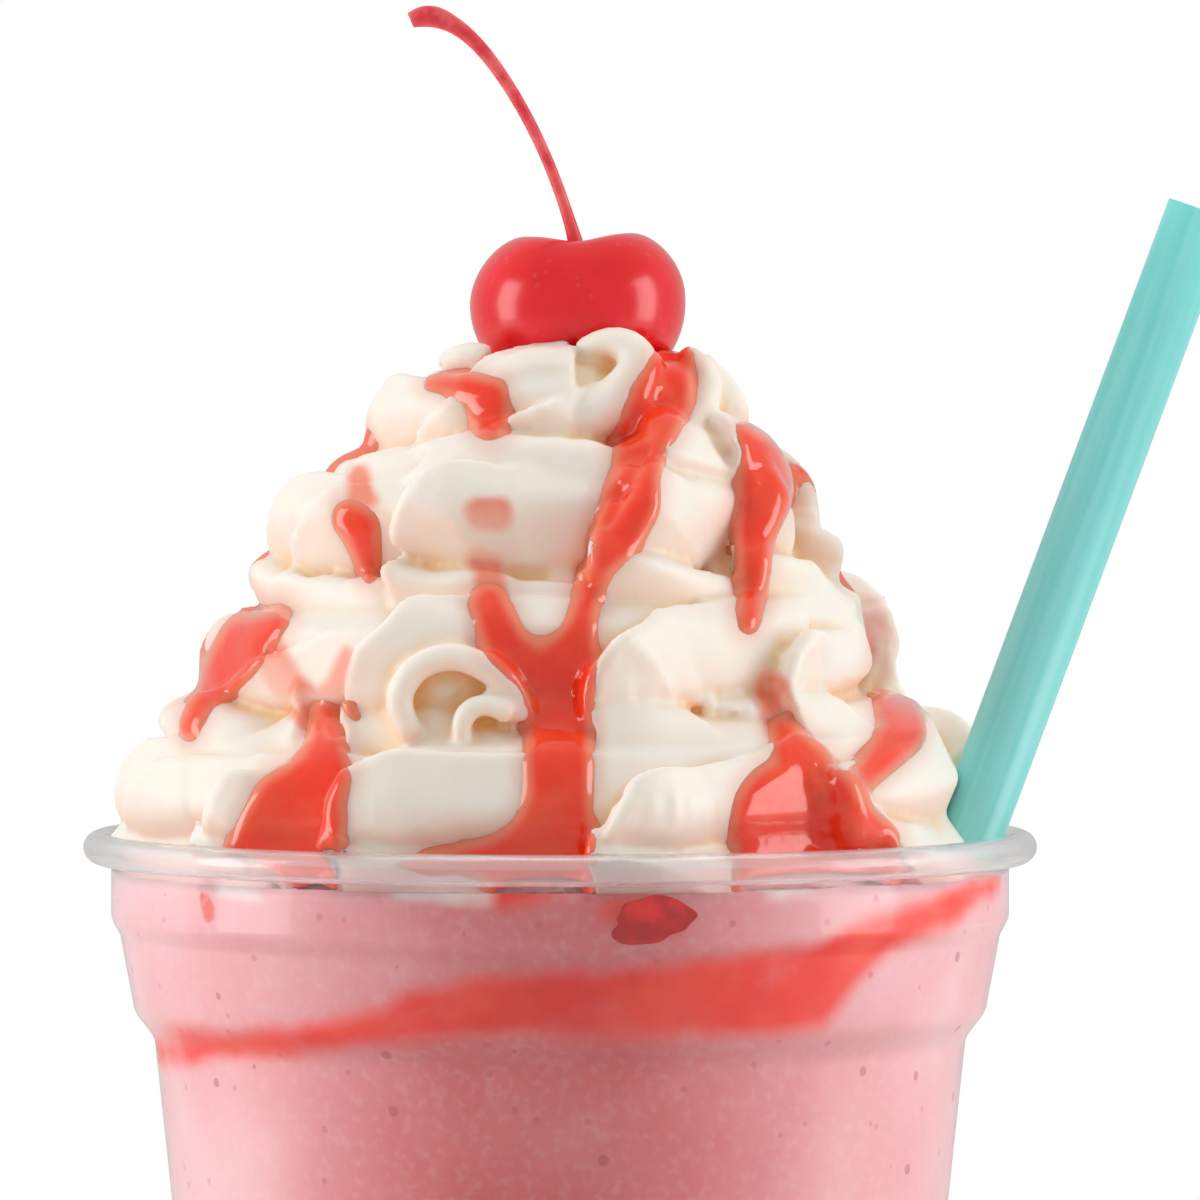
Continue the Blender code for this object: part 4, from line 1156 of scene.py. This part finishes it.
# %% Keeping the sauce inside the rim
places = vertex_places(sauce)
out = np.hypot(places[:, 0], places[:, 1])
over = np.clip(places[:, 2] - roll_centre[1], 0, ROLL_RADIUS)
room = roll_centre[0] - np.sqrt(ROLL_RADIUS ** 2 - over ** 2) + REACH_INTO_WALL
room = np.where(places[:, 2] < CUP_HEIGHT, room, 1.0)
places[:, :2] *= (np.minimum(out, room) / out)[:, None]
move_vertices(sauce, places)
inside = -sauce_distance(places / MM)
mark(sauce, "sauce_body", averaged(np.clip(inside / SAUCE_EDGE, 0, 1), edge_ends(sauce), 3))
print("sauce", round(float(height.max()), 2), "mm thick,", len(sauce.data.polygons), "faces")

# %% Strawberry sauce
syrup, tree, shader = new_material(
    "strawberry_sauce", Roughness=0.12, Subsurface_Weight=0.45, Subsurface_Scale=0.003,
    Subsurface_Radius=(1.0, 0.22, 0.14), Coat_Weight=0.3, Coat_Roughness=0.04,
)
thick = map_range(tree, attribute(tree, "sauce_body"), 0.05, 0.9)
pulp = patches(tree, 200.0, 4.0)
thick_red = mix_colours(tree, pulp, (1.0, 0.038, 0.006), (1.0, 0.080, 0.024))
colour = mix_colours(tree, thick, (0.96, 0.24, 0.14), thick_red)
paint(shader, colour)
add_bump(tree, shader, noise(tree, 350.0, 2.0), 0.10, 0.3)
finish_piece(sauce, "strawberry_sauce", syrup)

# %% [markdown]
# The cream gives way a little under the sauce, so that none of its folds comes through it.

# %% Cream under the sauce
SAUCE_WEIGHT = 0.8
sunk = SAUCE_WEIGHT * soft_step(-sauce_away, 0.2, 1.3)
move_vertices(cream, (cream_places - vertex_normals(cream) * sunk[:, None]) * MM)
print("cream sunk under the sauce by up to", round(float(sunk.max()), 2), "mm")

# %% [markdown]
# ## Cherry and stem
# A cocktail cherry is wide, with a dimple where the stem goes in and a cleft across it. A sphere
# is shaped by the same rule as the cream's bed. The stem is a curve that thickens to its knob.

# %% Cherry
cherry = add_cherry("cherry_fruit", 112, 64)
cherry_skin, tree, shader = new_material(
    "cherry_skin", Roughness=0.24, Subsurface_Weight=0.15, Subsurface_Scale=0.002,
    Subsurface_Radius=(1.0, 0.15, 0.12), Coat_Weight=0.2, Coat_Roughness=0.12,
)
mottle = patches(tree, 130.0, 3.0)
colour = mix_colours(tree, mottle, (0.78, 0.001, 0.006), (0.88, 0.006, 0.018))
freckles = speckles(tree, 700.0, 0.22, 0.4, 0.25)
colour = mix_colours(tree, freckles, colour, (0.80, 0.10, 0.10))
paint(shader, colour)
add_bump(tree, shader, noise(tree, 220.0, 3.0), 0.06, 0.4)
finish_piece(cherry, "cherry_fruit", cherry_skin, "cherry")

# %% Stem
STEM = (
    (1.7, 1.5, 181.0, 0.85), (1.3, 1.5, 182.6, 0.65), (0.2, 1.5, 186.2, 0.58),
    (-2.1, 1.6, 192.0, 0.60), (-5.3, 1.8, 197.8, 0.64), (-8.6, 2.0, 202.2, 0.72),
    (-11.6, 2.2, 204.4, 0.90), (-13.8, 2.3, 205.0, 1.30), (-15.4, 2.3, 204.3, 0.80),
)
stem = add_tube("stem", STEM, smooth=14, sides=6)
stem_skin, tree, shader = new_material(
    "cherry_stem", Roughness=0.35, Subsurface_Weight=0.2, Subsurface_Scale=0.001
)
fibre = patches(tree, 500.0, 4.0, 0.3)
colour = mix_colours(tree, fibre, (0.74, 0.03, 0.05), (0.86, 0.14, 0.14))
paint(shader, colour)
add_bump(tree, shader, noise(tree, 900.0, 3.0), 0.2, 0.2)
finish_piece(stem, "cherry_stalk", stem_skin, "cherry_stem")

# %% [markdown]
# ## Straw
# A straw is a thin tube, cut square at both ends. An open cylinder on its line gets its wall
# from Solidify. Its plastic lets some light through, and has faint streaks along its length.

# %% Straw
straw = add_rod("straw_tube", STRAW_RADIUS, 0.0, STRAW_LENGTH, "NOTHING")
apply_modifier(straw, "SOLIDIFY", thickness=STRAW_WALL, offset=-1.0)
teal_plastic, tree, shader = new_material(
    "teal_plastic", Roughness=0.38, Subsurface_Weight=0.3, Subsurface_Scale=0.002,
    Subsurface_Radius=(0.5, 1.0, 0.95),
)
turned_coordinates = add_node(tree, "ShaderNodeMapping", vector_type="TEXTURE")
tree.links.new(object_coordinates(tree), turned_coordinates.inputs["Vector"])
turned_coordinates.inputs["Rotation"].default_value = (0, STRAW_LEAN, 0)
turned_coordinates.inputs["Scale"].default_value = (1.0, 1.0, 30.0)
streaks = noise(tree, 900.0, 2.0, 0.5, turned_coordinates.outputs["Vector"])
colour = mix_colours(tree, map_range(tree, streaks, 0.3, 0.7), (0.20, 0.74, 0.69), (0.27, 0.80, 0.76))
paint(shader, colour)
add_bump(tree, shader, streaks, 0.05, 0.1)
finish_piece(straw, "teal_straw", teal_plastic, "straw")
